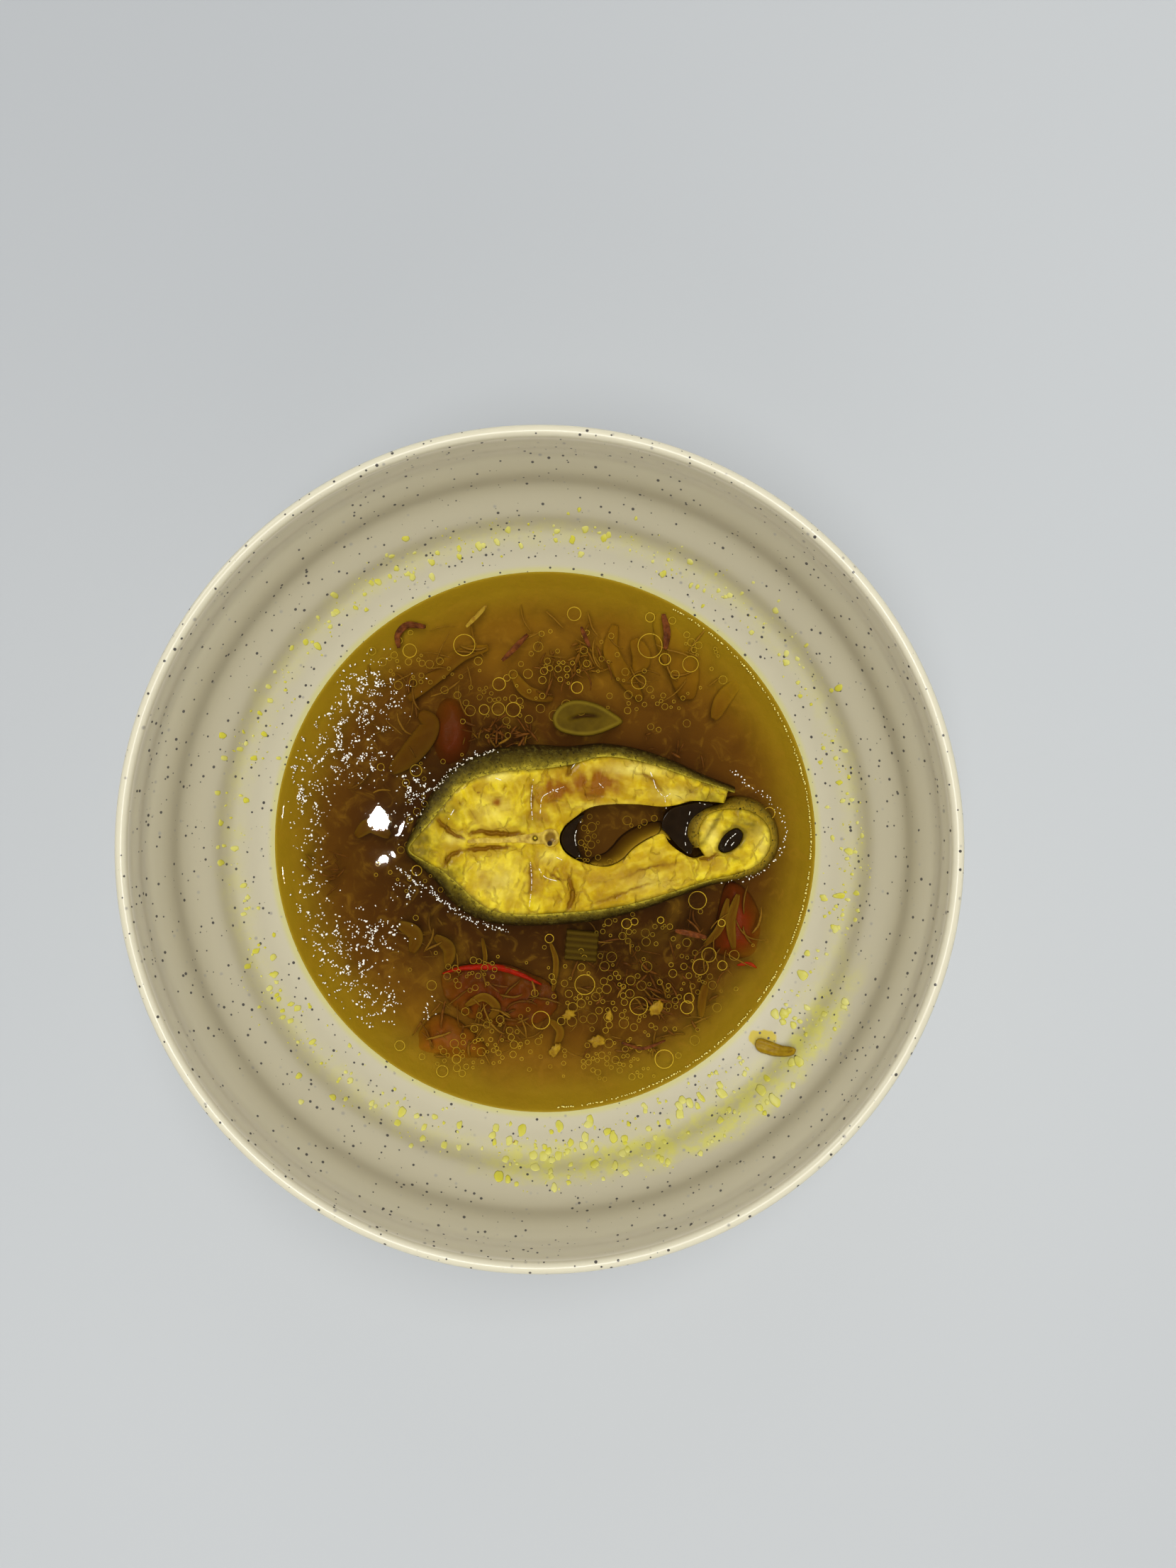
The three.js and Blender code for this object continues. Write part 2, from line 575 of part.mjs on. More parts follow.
// Shreds of fried shallot, chilli and herb at the surface: where they run, their width and thickness.
const SHREDS = [
  { line: [[-38.9, 51.6], [-39.2, 55.0], [-36.8, 57.6], [-31.8, 57.2]], width: 1.8 },
  { line: [[-11.4, 48.2], [-8.6, 51.0], [-4.6, 55.2]], width: 1.5 },
  { line: [[31.4, 60.6], [32.4, 56.0], [32.0, 51.2]], width: 1.9 },
  { line: [[9.6, 57.2], [10.6, 54.6], [11.8, 51.8]], width: 1.2 },
  { line: [[34.6, -23.6], [38.6, -24.4], [42.9, -25.4]], width: 1.6 },
  { line: [[20.4, -53.4], [26.0, -54.9], [32.0, -52.8]], width: 0.9 },
  { line: [[-15.6, 62.9], [-17.8, 60.4], [-21.0, 57.2]], width: 1.2 },
];
const SHRED_THICKNESS = 1.2;
const SHRED_LIFT = 0.12;
const FLAKES = [
  { at: [6.4, -45.8], size: 3.4, turn: 0.4 },
  { at: [17.1, -46.3], size: 2.6, turn: 1.3 },
  { at: [13.8, -53.0], size: 4.2, turn: 0.1 },
  { at: [29.6, -44.4], size: 4.0, turn: 0.8 },
  { at: [2.6, -55.4], size: 3.6, turn: 1.1 },
];

function flake({ at, size, turn }) {
  const geometry = new THREE.CylinderGeometry(size * 0.36, size * 0.5, 1.2, 6);
  geometry.rotateX(Math.PI / 2);
  geometry.scale(1, 0.55, 1);
  geometry.rotateZ(turn);
  geometry.translate(at[0], at[1], BROTH_LEVEL + 0.1);
  return solidOf(geometry);
}

function broth(inside, garnishAndGap) {
  const edge = insideProfile(FLOOR_GAP, HEIGHT - BROTH_LEVEL - MENISCUS_RISE);
  const rim = edge[edge.length - 1];
  const profile = [
    ...edge,
    new THREE.Vector2(rim.x - MENISCUS_WIDTH, BROTH_LEVEL),
    new THREE.Vector2(0, BROTH_LEVEL),
  ];
  let liquid = turned(profile).subtract(steakRoom());
  const belly = prism(pathThrough(BELLY_BROTH, 30, true), FISH_BOTTOM - 3, BROTH_LEVEL);
  liquid = liquid.add(belly.intersect(inside));
  for (const { line, width } of SHREDS)
    liquid = liquid.add(blade(line, BROTH_LEVEL + SHRED_LIFT, width, SHRED_THICKNESS));
  for (const one of FLAKES) liquid = liquid.add(flake(one));
  return liquid.subtract(garnishAndGap);
}

// ---- Garnish ------------------------------------------------------------------------------------------------

const GARLIC = [[1.9, 32.9], [3.9, 36.3], [7.7, 37.8], [13.4, 36.9], [17.6, 34.7], [20.7, 32.0],
  [17.3, 29.9], [12.4, 28.3], [6.8, 28.5], [3.0, 30.1]];
const GARLIC_THICKNESS = 2.2;
const GARLIC_SLIT = [[6.6, 32.7], [10.4, 33.6], [14.4, 33.4]];
const GARLIC_TOP = BROTH_LEVEL + 0.4;

function garlicOutline(extra) {
  const path = pathThrough(GARLIC, 26, true);
  const ring = [...path.slice(-1), ...path, ...path.slice(0, 1)];
  const sides = sideways(ring, 1).slice(1, -1);
  return path.map((p, i) => {
    const at = p.clone().addScaledVector(sides[i], -extra);
    return new THREE.Vector2(at.x, at.y);
  });
}

function garlicSlice() {
  const levels = [[-0.5, 0], [0, 0.5], [0, GARLIC_THICKNESS - 0.5], [-0.5, GARLIC_THICKNESS]];
  const bottom = GARLIC_TOP - GARLIC_THICKNESS;
  const rings = levels.map(([extra, rise]) =>
    garlicOutline(extra).map((p) => new THREE.Vector3(p.x, p.y, bottom + rise)),
  );
  if (THREE.ShapeUtils.isClockWise(rings[0])) rings.forEach((ring) => ring.reverse());
  return loft(rings, flatCap).subtract(crease(GARLIC_SLIT, GARLIC_TOP, 1.1, 0.9));
}

const garlicAndGap = () =>
  prism(garlicOutline(GAP * 1.3), GARLIC_TOP - GARLIC_THICKNESS - GAP, GARLIC_TOP + 3);

// A square of ribbed leek, its ribs running along X.
const LEEK = { x: 9.7, y: -27.7, width: 8.6, height: 8.2, thickness: 1.8, ribs: 5, turn: -0.09 };

function leekPiece() {
  const shape = new THREE.Shape();
  const half = LEEK.height / 2;
  const steps = LEEK.ribs * 4;
  shape.moveTo(-half, -LEEK.thickness);
  shape.lineTo(half, -LEEK.thickness);
  for (let i = 0; i <= steps; i++) {
    const along = half - (i / steps) * LEEK.height;
    const rib = Math.cos((i / steps) * LEEK.ribs * 2 * Math.PI);
    shape.lineTo(along, -0.25 - 0.25 * rib);
  }
  const geometry = new THREE.ExtrudeGeometry(shape, { depth: LEEK.width, bevelEnabled: false });
  geometry.translate(0, 0, -LEEK.width / 2);
  geometry.rotateY(Math.PI / 2);
  geometry.rotateX(Math.PI / 2);
  geometry.rotateZ(LEEK.turn);
  geometry.translate(LEEK.x, LEEK.y, BROTH_LEVEL + 0.5);
  return solidOf(geometry);
}

function leekAndGap() {
  const room = new THREE.BoxGeometry(LEEK.width + 2 * GAP, LEEK.height + 2 * GAP, 6);
  room.rotateZ(LEEK.turn);
  room.translate(LEEK.x, LEEK.y, BROTH_LEVEL + 0.5 - LEEK.thickness - GAP + 3);
  return solidOf(room);
}

// The herb sliver, stuck to the wall: its middle as an angle and a depth, what each half of it turns and
// climbs, and how a millimetre across it runs round the bowl and down it.
const HERB = { angle: -41.5, depth: 29.6, turn: 1.95, climb: 3.6, width: 3.2, thickness: 1.1, off: 0.5 };
const HERB_ACROSS = { round: 0.88, down: 0.34 };

// The share of its width that the sliver has at t from -1, the blunt low end, to 1, the narrow high end.
const herbShare = (t) => (1 - 0.2 * t) * Math.sqrt(1 - 0.8 * t ** 8);

function herbSliver() {
  const steps = 8;
  const sections = [];
  for (let i = 0; i <= steps; i++) {
    const t = (i / steps) * 2 - 1;
    const half = (HERB.width / 2) * herbShare(t);
    const onWall = (across, off) => {
      const depth = HERB.depth - t * HERB.climb + across * HERB_ACROSS.down;
      const slope = innerRadius(depth - 1) - innerRadius(depth + 1);
      const inward = new THREE.Vector2(-2, slope).normalize().multiplyScalar(off);
      const radius = innerRadius(depth) + inward.x;
      const turned = THREE.MathUtils.degToRad(HERB.angle + t * HERB.turn);
      const angle = turned + (across * HERB_ACROSS.round) / radius;
      const at = new THREE.Vector3(Math.cos(angle), Math.sin(angle), 0).multiplyScalar(radius);
      return at.setZ(HEIGHT - depth + inward.y);
    };
    const high = HERB.off + HERB.thickness;
    sections.push([
      onWall(0, HERB.off),
      onWall(half, HERB.off),
      onWall(half * 0.6, high),
      onWall(-half * 0.6, high),
      onWall(-half, HERB.off),
    ]);
  }
  return loft(sections, fanCap);
}

// ---- The whole bowl -----------------------------------------------------------------------------------------

const part = new THREE.Group();

function addPiece(name, solid, color, roughness) {
  const material = new THREE.MeshStandardMaterial({ color, roughness, metalness: 0 });
  const mesh = new THREE.Mesh(geometryOf(solid), material);
  mesh.name = name;
  part.add(mesh);
}

const inside = room();
const skinAndGap = fishSkin(GAP);
const backboneAndGap = fishBackbone(GAP * 1.3);
const garnishAndGap = garlicAndGap().add(leekAndGap());

addPiece("bowl", bowl(), 0xddd7c0, 0.3);
addPiece("broth", broth(inside, garnishAndGap), 0x7a570f, 0.1);
addPiece("fish_flesh", fishFlesh(skinAndGap, backboneAndGap, inside), 0xe0bd3a, 0.4);
addPiece("fish_skin", fishSkin().intersect(inside), 0x342107, 0.35);
addPiece("fish_backbone", fishBackbone().intersect(inside), 0xa58a3a, 0.45);
addPiece("belly_lining", lining(liningCrescent(), FISH_TOP - 1.6, 1.0).intersect(inside), 0x1a0e02, 0.2);
addPiece(
  "belly_lining_flap",
  lining(flat(pathThrough(LINING_FLAP, 32, true)), FISH_TOP - 1.4, 1.2)
    .subtract(skinAndGap)
    .intersect(inside),
  0x1a0e02,
  0.2,
);
const pitOutline = PIT.map(([x, y]) => [49.3 + (x - 49.3) * 0.86, 0.4 + (y - 0.4) * 0.88]);
addPiece(
  "curl_lining",
  lining(flat(pathThrough(pitOutline, 20, true)), FISH_TOP - 1.2, 1.4).intersect(inside),
  0x2a2018,
  0.25,
);
addPiece("garlic_slice", garlicSlice(), 0x8c7a2a, 0.35);
addPiece("leek_piece", leekPiece(), 0x6b5f14, 0.4);
addPiece("herb_sliver", herbSliver(), 0x91701a, 0.4);

export default part;
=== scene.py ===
import random
from math import asin, atan2, cos, degrees, hypot, pi, radians, sin, sqrt, tau

import bpy
import numpy as np
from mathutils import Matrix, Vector, noise
from mathutils.geometry import delaunay_2d_cdt


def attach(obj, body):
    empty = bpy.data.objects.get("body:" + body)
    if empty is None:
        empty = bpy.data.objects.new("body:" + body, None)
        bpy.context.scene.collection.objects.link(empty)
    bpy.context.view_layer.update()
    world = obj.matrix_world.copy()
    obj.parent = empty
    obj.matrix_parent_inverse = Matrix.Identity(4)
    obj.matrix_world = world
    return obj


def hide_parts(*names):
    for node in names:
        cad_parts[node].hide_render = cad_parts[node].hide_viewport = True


# A ribbed, speckled bowl of sour fish soup: cloudy yellow-brown broth with oil rings, a fish steak,
# garlic, leek, tomato, onion and shallots. Sizes are in millimetres until a piece is made.

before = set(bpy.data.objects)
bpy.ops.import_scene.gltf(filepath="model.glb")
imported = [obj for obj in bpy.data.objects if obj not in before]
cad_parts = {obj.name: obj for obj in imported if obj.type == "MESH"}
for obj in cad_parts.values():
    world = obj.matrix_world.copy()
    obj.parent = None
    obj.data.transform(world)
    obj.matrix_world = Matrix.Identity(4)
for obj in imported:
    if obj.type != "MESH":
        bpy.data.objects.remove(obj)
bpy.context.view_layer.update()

MM = 0.001

# ---- Driving dimensions ----

RIM_RADIUS = 100
HEIGHT = 68
LIP_WIDTH = 3
LIP_RADIUS = LIP_WIDTH / 2
MOUTH_RADIUS = RIM_RADIUS - LIP_WIDTH
INNER_DEPTH = 59.5
WALL_FULLNESS = 1.7
FLOOR_THICKNESS = 4.2
FOOT_RADIUS = 40
FOOT_HEIGHT = 8.6
FOOT_FILLET = 5
FOOT_WIDTH = 4.5
FOOT_RECESS = 3.2
RIB_PITCH = 10.3
RIB_SWELL = 0.5
FIRST_RIB = 6.5
RIBS_END = 34.5

BROTH_LEVEL = HEIGHT - 37.5
BROTH_RADIUS = 71.7
FISH_TOP = BROTH_LEVEL + 2.4
FISH_BOTTOM = 13
GAP = 0.32

CAMERA = (11.4, 15.4, 344)
LENS = 27.05
PHOTO_HEIGHT = 2212
PIXELS_PER_RADIAN = LENS / 36 * PHOTO_HEIGHT
PHOTO_MIDDLE = (829.5, 1106)


def from_pixel(px, py, z=BROTH_LEVEL):
    """Where a pixel of the 1659 x 2212 photograph falls at the height z, in millimetres."""
    scale = (CAMERA[2] - z) / PIXELS_PER_RADIAN
    return (
        CAMERA[0] + (px - PHOTO_MIDDLE[0]) * scale,
        CAMERA[1] - (py - PHOTO_MIDDLE[1]) * scale,
    )


def pixels(*points, z=BROTH_LEVEL):
    return [from_pixel(px, py, z) for px, py in points]


# ---- Curves and outlines in plan ----


def smooth_path(points, spacing, closed=False):
    """Evenly spaced points along a centripetal Catmull-Rom curve. Further columns are carried along."""
    p = np.array(points, float)
    if closed:
        p = np.vstack([p[-1], p, p[0], p[1]])
    else:
        p = np.vstack([2 * p[0] - p[1], p, 2 * p[-1] - p[-2]])
    fine = []
    for a, b, c, d in zip(p, p[1:], p[2:], p[3:]):
        gaps = [max(np.linalg.norm((q - r)[:2]) ** 0.5, 1e-4) for q, r in ((b, a), (c, b), (d, c))]
        t0, t1, t2, t3 = np.cumsum([0] + gaps)
        t = np.linspace(t1, t2, 25)[:-1, None]
        ab = (t1 - t) / (t1 - t0) * a + (t - t0) / (t1 - t0) * b
        bc = (t2 - t) / (t2 - t1) * b + (t - t1) / (t2 - t1) * c
        cd = (t3 - t) / (t3 - t2) * c + (t - t2) / (t3 - t2) * d
        abc = (t2 - t) / (t2 - t0) * ab + (t - t0) / (t2 - t0) * bc
        bcd = (t3 - t) / (t3 - t1) * bc + (t - t1) / (t3 - t1) * cd
        fine.append((t2 - t) / (t2 - t1) * abc + (t - t1) / (t2 - t1) * bcd)
    fine.append(p[-2:-1])
    fine = np.vstack(fine)
    along = np.concatenate([[0], np.cumsum(np.linalg.norm(np.diff(fine[:, :2], axis=0), axis=1))])
    count = max(2, int(round(along[-1] / spacing)))
    at = np.linspace(0, along[-1], count + 1)
    path = np.column_stack([np.interp(at, along, fine[:, k]) for k in range(fine.shape[1])])
    return path[:-1] if closed else path


def right_of(path, reach=2, closed=False):
    """Unit directions that point right of the way a path runs."""
    if closed:
        d = np.roll(path, -reach, axis=0) - np.roll(path, reach, axis=0)
    else:
        index = np.arange(len(path))
        d = path[np.minimum(index + reach, len(path) - 1)] - path[np.maximum(index - reach, 0)]
    side = np.column_stack([d[:, 1], -d[:, 0]])
    return side / np.maximum(np.linalg.norm(side, axis=1, keepdims=True), 1e-9)


def turning_left(loop):
    """The loop in counter-clockwise order."""
    nxt = np.roll(loop, -1, axis=0)
    area = (loop[:, 0] * nxt[:, 1] - nxt[:, 0] * loop[:, 1]).sum()
    return loop if area > 0 else loop[::-1]


def inside_of(points, loop):
    """Whether each point lies in a closed loop."""
    x, y = points[:, :1], points[:, 1:2]
    a, b = loop[:, :2], np.roll(loop[:, :2], -1, axis=0)
    rise = b[:, 1] - a[:, 1]
    rise = np.where(rise == 0, 1e-12, rise)
    crosses = (a[:, 1] > y) != (b[:, 1] > y)
    reach = a[:, 0] + (y - a[:, 1]) / rise * (b[:, 0] - a[:, 0])
    return (crosses & (x < reach)).sum(axis=1) % 2 == 1


def measured(points, line, closed=True):
    """How far each point is from a line, and how far along it, from 0 to 1, its nearest point is."""
    a = line[:, :2] if closed else line[:-1, :2]
    b = np.roll(line[:, :2], -1, axis=0) if closed else line[1:, :2]
    d = b - a
    square = np.maximum((d * d).sum(axis=1), 1e-12)
    far = np.empty(len(points))
    along = np.empty(len(points))
    for start in range(0, len(points), 3000):
        block = points[start : start + 3000, None, :2]
        t = np.clip(((block - a) * d).sum(axis=2) / square, 0, 1)
        gap = np.linalg.norm(block - a - t[..., None] * d, axis=2)
        best = gap.argmin(axis=1)
        rows = np.arange(len(best))
        far[start : start + 3000] = gap[rows, best]
        along[start : start + 3000] = (best + t[rows, best]) / len(a)
    return far, along


def smoothstep(value, low, high):
    t = np.clip((np.asarray(value, float) - low) / (high - low), 0, 1)
    return t * t * (3 - 2 * t)


def rough(points, size, octaves=3, seed=0):
    """Smooth noise between about -1 and 1, with features of the given size."""
    places = [Vector((x / size + seed, y / size, seed)) for x, y in points[:, :2]]
    return np.array([noise.fractal(place, 0.9, 2.1, octaves) for place in places])


def swells(points, hills):
    """Rounded hills and hollows, each an x, y, two radii and a height."""
    total = np.zeros(len(points))
    for x, y, rx, ry, height in hills:
        total += height * np.exp(-(((points[:, 0] - x) / rx) ** 2) - ((points[:, 1] - y) / ry) ** 2)
    return total


# ---- Meshes ----


def pairs(count):
    """Each place of a closed ring with the next one."""
    return [(i, (i + 1) % count) for i in range(count)]


def circle(count):
    """Points round the unit circle."""
    angle = np.arange(count) / count * tau
    return np.column_stack([np.cos(angle), np.sin(angle)])


def hex_grid(low, high, spacing):
    across = np.arange(low[0], high[0], spacing)
    up = np.arange(low[1], high[1], spacing * sqrt(0.75))
    x, y = np.meshgrid(across, up)
    x[1::2] += spacing / 2
    return np.column_stack([x.ravel(), y.ravel()])


def within(points, loops):
    """Whether each point lies in the first loop and outside the others."""
    keep = inside_of(points, loops[0])
    for loop in loops[1:]:
        keep &= ~inside_of(points, loop)
    return keep


def points_within(loops, spacing):
    """A grid of points inside the first loop and outside the others, clear of all of them."""
    points = hex_grid(loops[0].min(axis=0), loops[0].max(axis=0), spacing)
    points = points[within(points, loops)]
    gap = np.min([measured(points, loop)[0] for loop in loops], axis=0)
    return points[gap > spacing * 0.45]


def triangulate(loops, inner):
    """Triangles, turning left, that fill a first loop around the others through the inner points."""
    edges = []
    start = 0
    for loop in loops:
        edges += [(start + i, start + j) for i, j in pairs(len(loop))]
        start += len(loop)
    points = np.vstack([*[loop[:, :2] for loop in loops], inner])
    out = delaunay_2d_cdt([Vector(p) for p in points], edges, [], 0, 1e-7)
    if len(out[0]) != len(points):
        raise ValueError("an outline crosses itself or has a point twice")
    faces = np.array(out[2])
    corners = points[faces]
    one, two = corners[:, 1] - corners[:, 0], corners[:, 2] - corners[:, 0]
    turn = one[:, 0] * two[:, 1] - one[:, 1] * two[:, 0]
    faces[turn < 0] = faces[turn < 0][:, ::-1]
    return points, faces


def filled(loops, inner):
    points, faces = triangulate(loops, inner)
    return points, faces[within(points[faces].mean(axis=1), loops)]


def wall_between(upper, lower, loops):
    """Quads down from each loop of the points that start at upper to those that start at lower."""
    faces = []
    for loop in loops:
        faces += [(upper + i, lower + i, lower + j, upper + j) for i, j in pairs(len(loop))]
        upper += len(loop)
        lower += len(loop)
    return faces


def plate(loops, spacing, top, bottom, rings=3):
    """A closed slab with a finely shaped top, bounded by loops, of which the first is the outside.
    top is a function of points, and bottom a height."""
    loops = [turning_left(loops[0])] + [turning_left(loop)[::-1] for loop in loops[1:]]
    flat, faces = filled(loops, points_within(loops, spacing))
    count = sum(len(loop) for loop in loops)
    layers = [np.column_stack([flat, top(flat)])]
    solid = faces.tolist()
    above, below = 0, len(flat)
    for t in np.arange(1, rings + 1) / rings:
        layer = layers[0][:count].copy()
        layer[:, 2] = layer[:, 2] * (1 - t) + bottom * t
        layers.append(layer)
        solid += wall_between(above, below, loops)
        above, below = below, below + count
    base = filled(loops, np.empty((0, 2)))[1]
    return np.vstack(layers), solid + (base[:, ::-1] + above).tolist()


def turned(profile, segments):
    """A profile of radius and height, from the axis out and back to it, turned round the axis."""
    around = circle(segments)
    rings = [np.column_stack([around * radius, np.full(segments, float(z))]) for radius, z in profile[1:-1]]
    points, faces = lofted(rings)
    points[-2:] = (0, 0, profile[0][1]), (0, 0, profile[-1][1])
    return points, faces


def joined(shapes):
    """One mesh out of many shapes, each its points and faces."""
    points = []
    faces = []
    start = 0
    for some, sides in shapes:
        points.append(some)
        faces += [tuple(v + start for v in side) for side in sides]
        start += len(some)
    return np.vstack(points), faces


def lofted(sections):
    """A closed skin over sections of the same number of points, with a fan over each end."""
    rings = np.array(sections)
    rows, count = rings.shape[:2]
    points = np.vstack([rings.reshape(-1, 3), rings[0].mean(axis=0), rings[-1].mean(axis=0)])
    last = (rows - 1) * count
    faces = []
    for i, j in pairs(count):
        faces += [(rows * count, j, i), (rows * count + 1, last + i, last + j)]
        faces += [(a + i, a + j, a + count + j, a + count + i) for a in range(0, last, count)]
    return points, faces


def soft_noise(x, y, z):
    return noise.noise(Vector((x, y, z)))


def strand(path, width, thickness, sides=8, tips=0.25, uneven=0.15, seed=0):
    """A flattish strand along 3-D points, tapered at its tips and uneven along its length."""
    path = np.array(path, float)
    sections = []
    for i, (at, side) in enumerate(zip(path, right_of(path, 1))):
        t = i / (len(path) - 1)
        taper = tips + (1 - tips) * sin(pi * min(max(t, 0.02), 0.98)) ** 0.5
        taper *= 1 + uneven * soft_noise(i * 0.35, seed, 3.1)
        ring = []
        for k in range(sides):
            angle = tau * k / sides
            out = cos(angle) * width / 2 * taper
            up = sin(angle) * thickness / 2 * taper
            ring.append((at[0] + side[0] * out, at[1] + side[1] * out, at[2] + up))
        sections.append(ring[::-1])
    return lofted(sections)


def sheet(path, width, thickness, cup=0, columns=9, tips=0.15, ripple=0, seed=0):
    """A thin bent sheet along 3-D points, cupped across by cup and rippled, closed all round."""
    path = np.array(path, float)
    sections = []
    for i, (at, side) in enumerate(zip(path, right_of(path, 1))):
        t = i / (len(path) - 1)
        half = width / 2 * (tips + (1 - tips) * sin(pi * min(max(t, 0.01), 0.99)) ** 0.6)
        over, under = [], []
        for v in np.linspace(-1, 1, columns):
            lift = cup * v * v + ripple * soft_noise(i * 0.3 + seed, v * 1.6, seed)
            thin = thickness / 2 * (1 - 0.7 * abs(v) ** 3)
            x, y = at[:2] + side * v * half
            over.append((x, y, at[2] + lift + thin))
            under.append((x, y, at[2] + lift - thin))
        sections.append(over + under[::-1])
    return lofted(sections)


def ring_shape(x, y, z, radius, wire, flat=0.6, around=28, sides=6):
    """A thin ring that lies flat."""
    a, b = np.meshgrid(np.arange(around) / around * tau, np.arange(sides) / sides * tau, indexing="ij")
    reach = radius + wire * np.cos(b)
    points = np.stack([x + reach * np.cos(a), y + reach * np.sin(a), z + wire * flat * np.sin(b)], 2)
    faces = []
    for i, j in pairs(around):
        i, j = i * sides, j * sides
        faces += [(i + k, j + k, j + m, i + m) for k, m in pairs(sides)]
    return points.reshape(-1, 3), faces


def dome(origin, axes, radii, sides=12, rings=4, edge=None):
    """A low closed dome over origin, with axes (two along the surface, one out of it) and radii.
    edge, where it is given, is a function of the angle that makes its outline uneven."""
    origin = np.array(origin, float)
    u, v, w = (np.array(axis, float) * radius for axis, radius in zip(axes, radii))
    points = [origin + w]
    slopes = [(sin(pi / 2 * r / rings), cos(pi / 2 * r / rings)) for r in range(1, rings + 1)]
    for reach, rise in slopes + [(0.75, -0.3)]:
        for k in range(sides):
            angle = tau * k / sides
            wide = reach * (edge(angle) if edge else 1)
            offset = u * wide * cos(angle) + v * wide * sin(angle)
            points.append(origin + offset + w * rise)
    points.append(origin - w * 0.3)
    last = 1 + rings * sides
    faces = []
    for k, m in pairs(sides):
        faces += [(0, 1 + k, 1 + m), (len(points) - 1, last + m, last + k)]
        faces += [(a + k, a + sides + k, a + sides + m, a + m) for a in range(1, last, sides)]
    return np.array(points), faces


def flat_axes(turn):
    """Axes of a thing that lies flat, turned round the upright one."""
    return (cos(turn), sin(turn), 0), (-sin(turn), cos(turn), 0), (0, 0, 1)


def piece(name, shape, finish, replaces=(), marks=None):
    """A smooth mesh piece in metres that rides on the part. marks are values kept at its points."""
    points, faces = shape
    mesh = bpy.data.meshes.new(name)
    mesh.from_pydata((np.asarray(points) * MM).tolist(), [], [tuple(face) for face in faces])
    mesh.polygons.foreach_set("use_smooth", [True] * len(mesh.polygons))
    for mark, values in (marks or {}).items():
        layer = mesh.attributes.new(mark, "FLOAT", "POINT")
        full = np.zeros(len(mesh.vertices), np.float32)
        full[: len(values)] = values
        layer.data.foreach_set("value", full)
    mesh.update()
    obj = bpy.data.objects.new(name, mesh)
    bpy.context.scene.collection.objects.link(obj)
    mesh.materials.append(finish)
    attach(obj, "root")
    if replaces:
        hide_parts(*replaces)
    return obj


# ---- Materials ----


def colour(red, green, blue):
    """An sRGB colour out of 255 as the linear colour that a shader takes."""
    def one(value):
        value /= 255
        return value / 12.92 if value <= 0.04045 else ((value + 0.055) / 1.055) ** 2.4

    return (one(red), one(green), one(blue), 1)


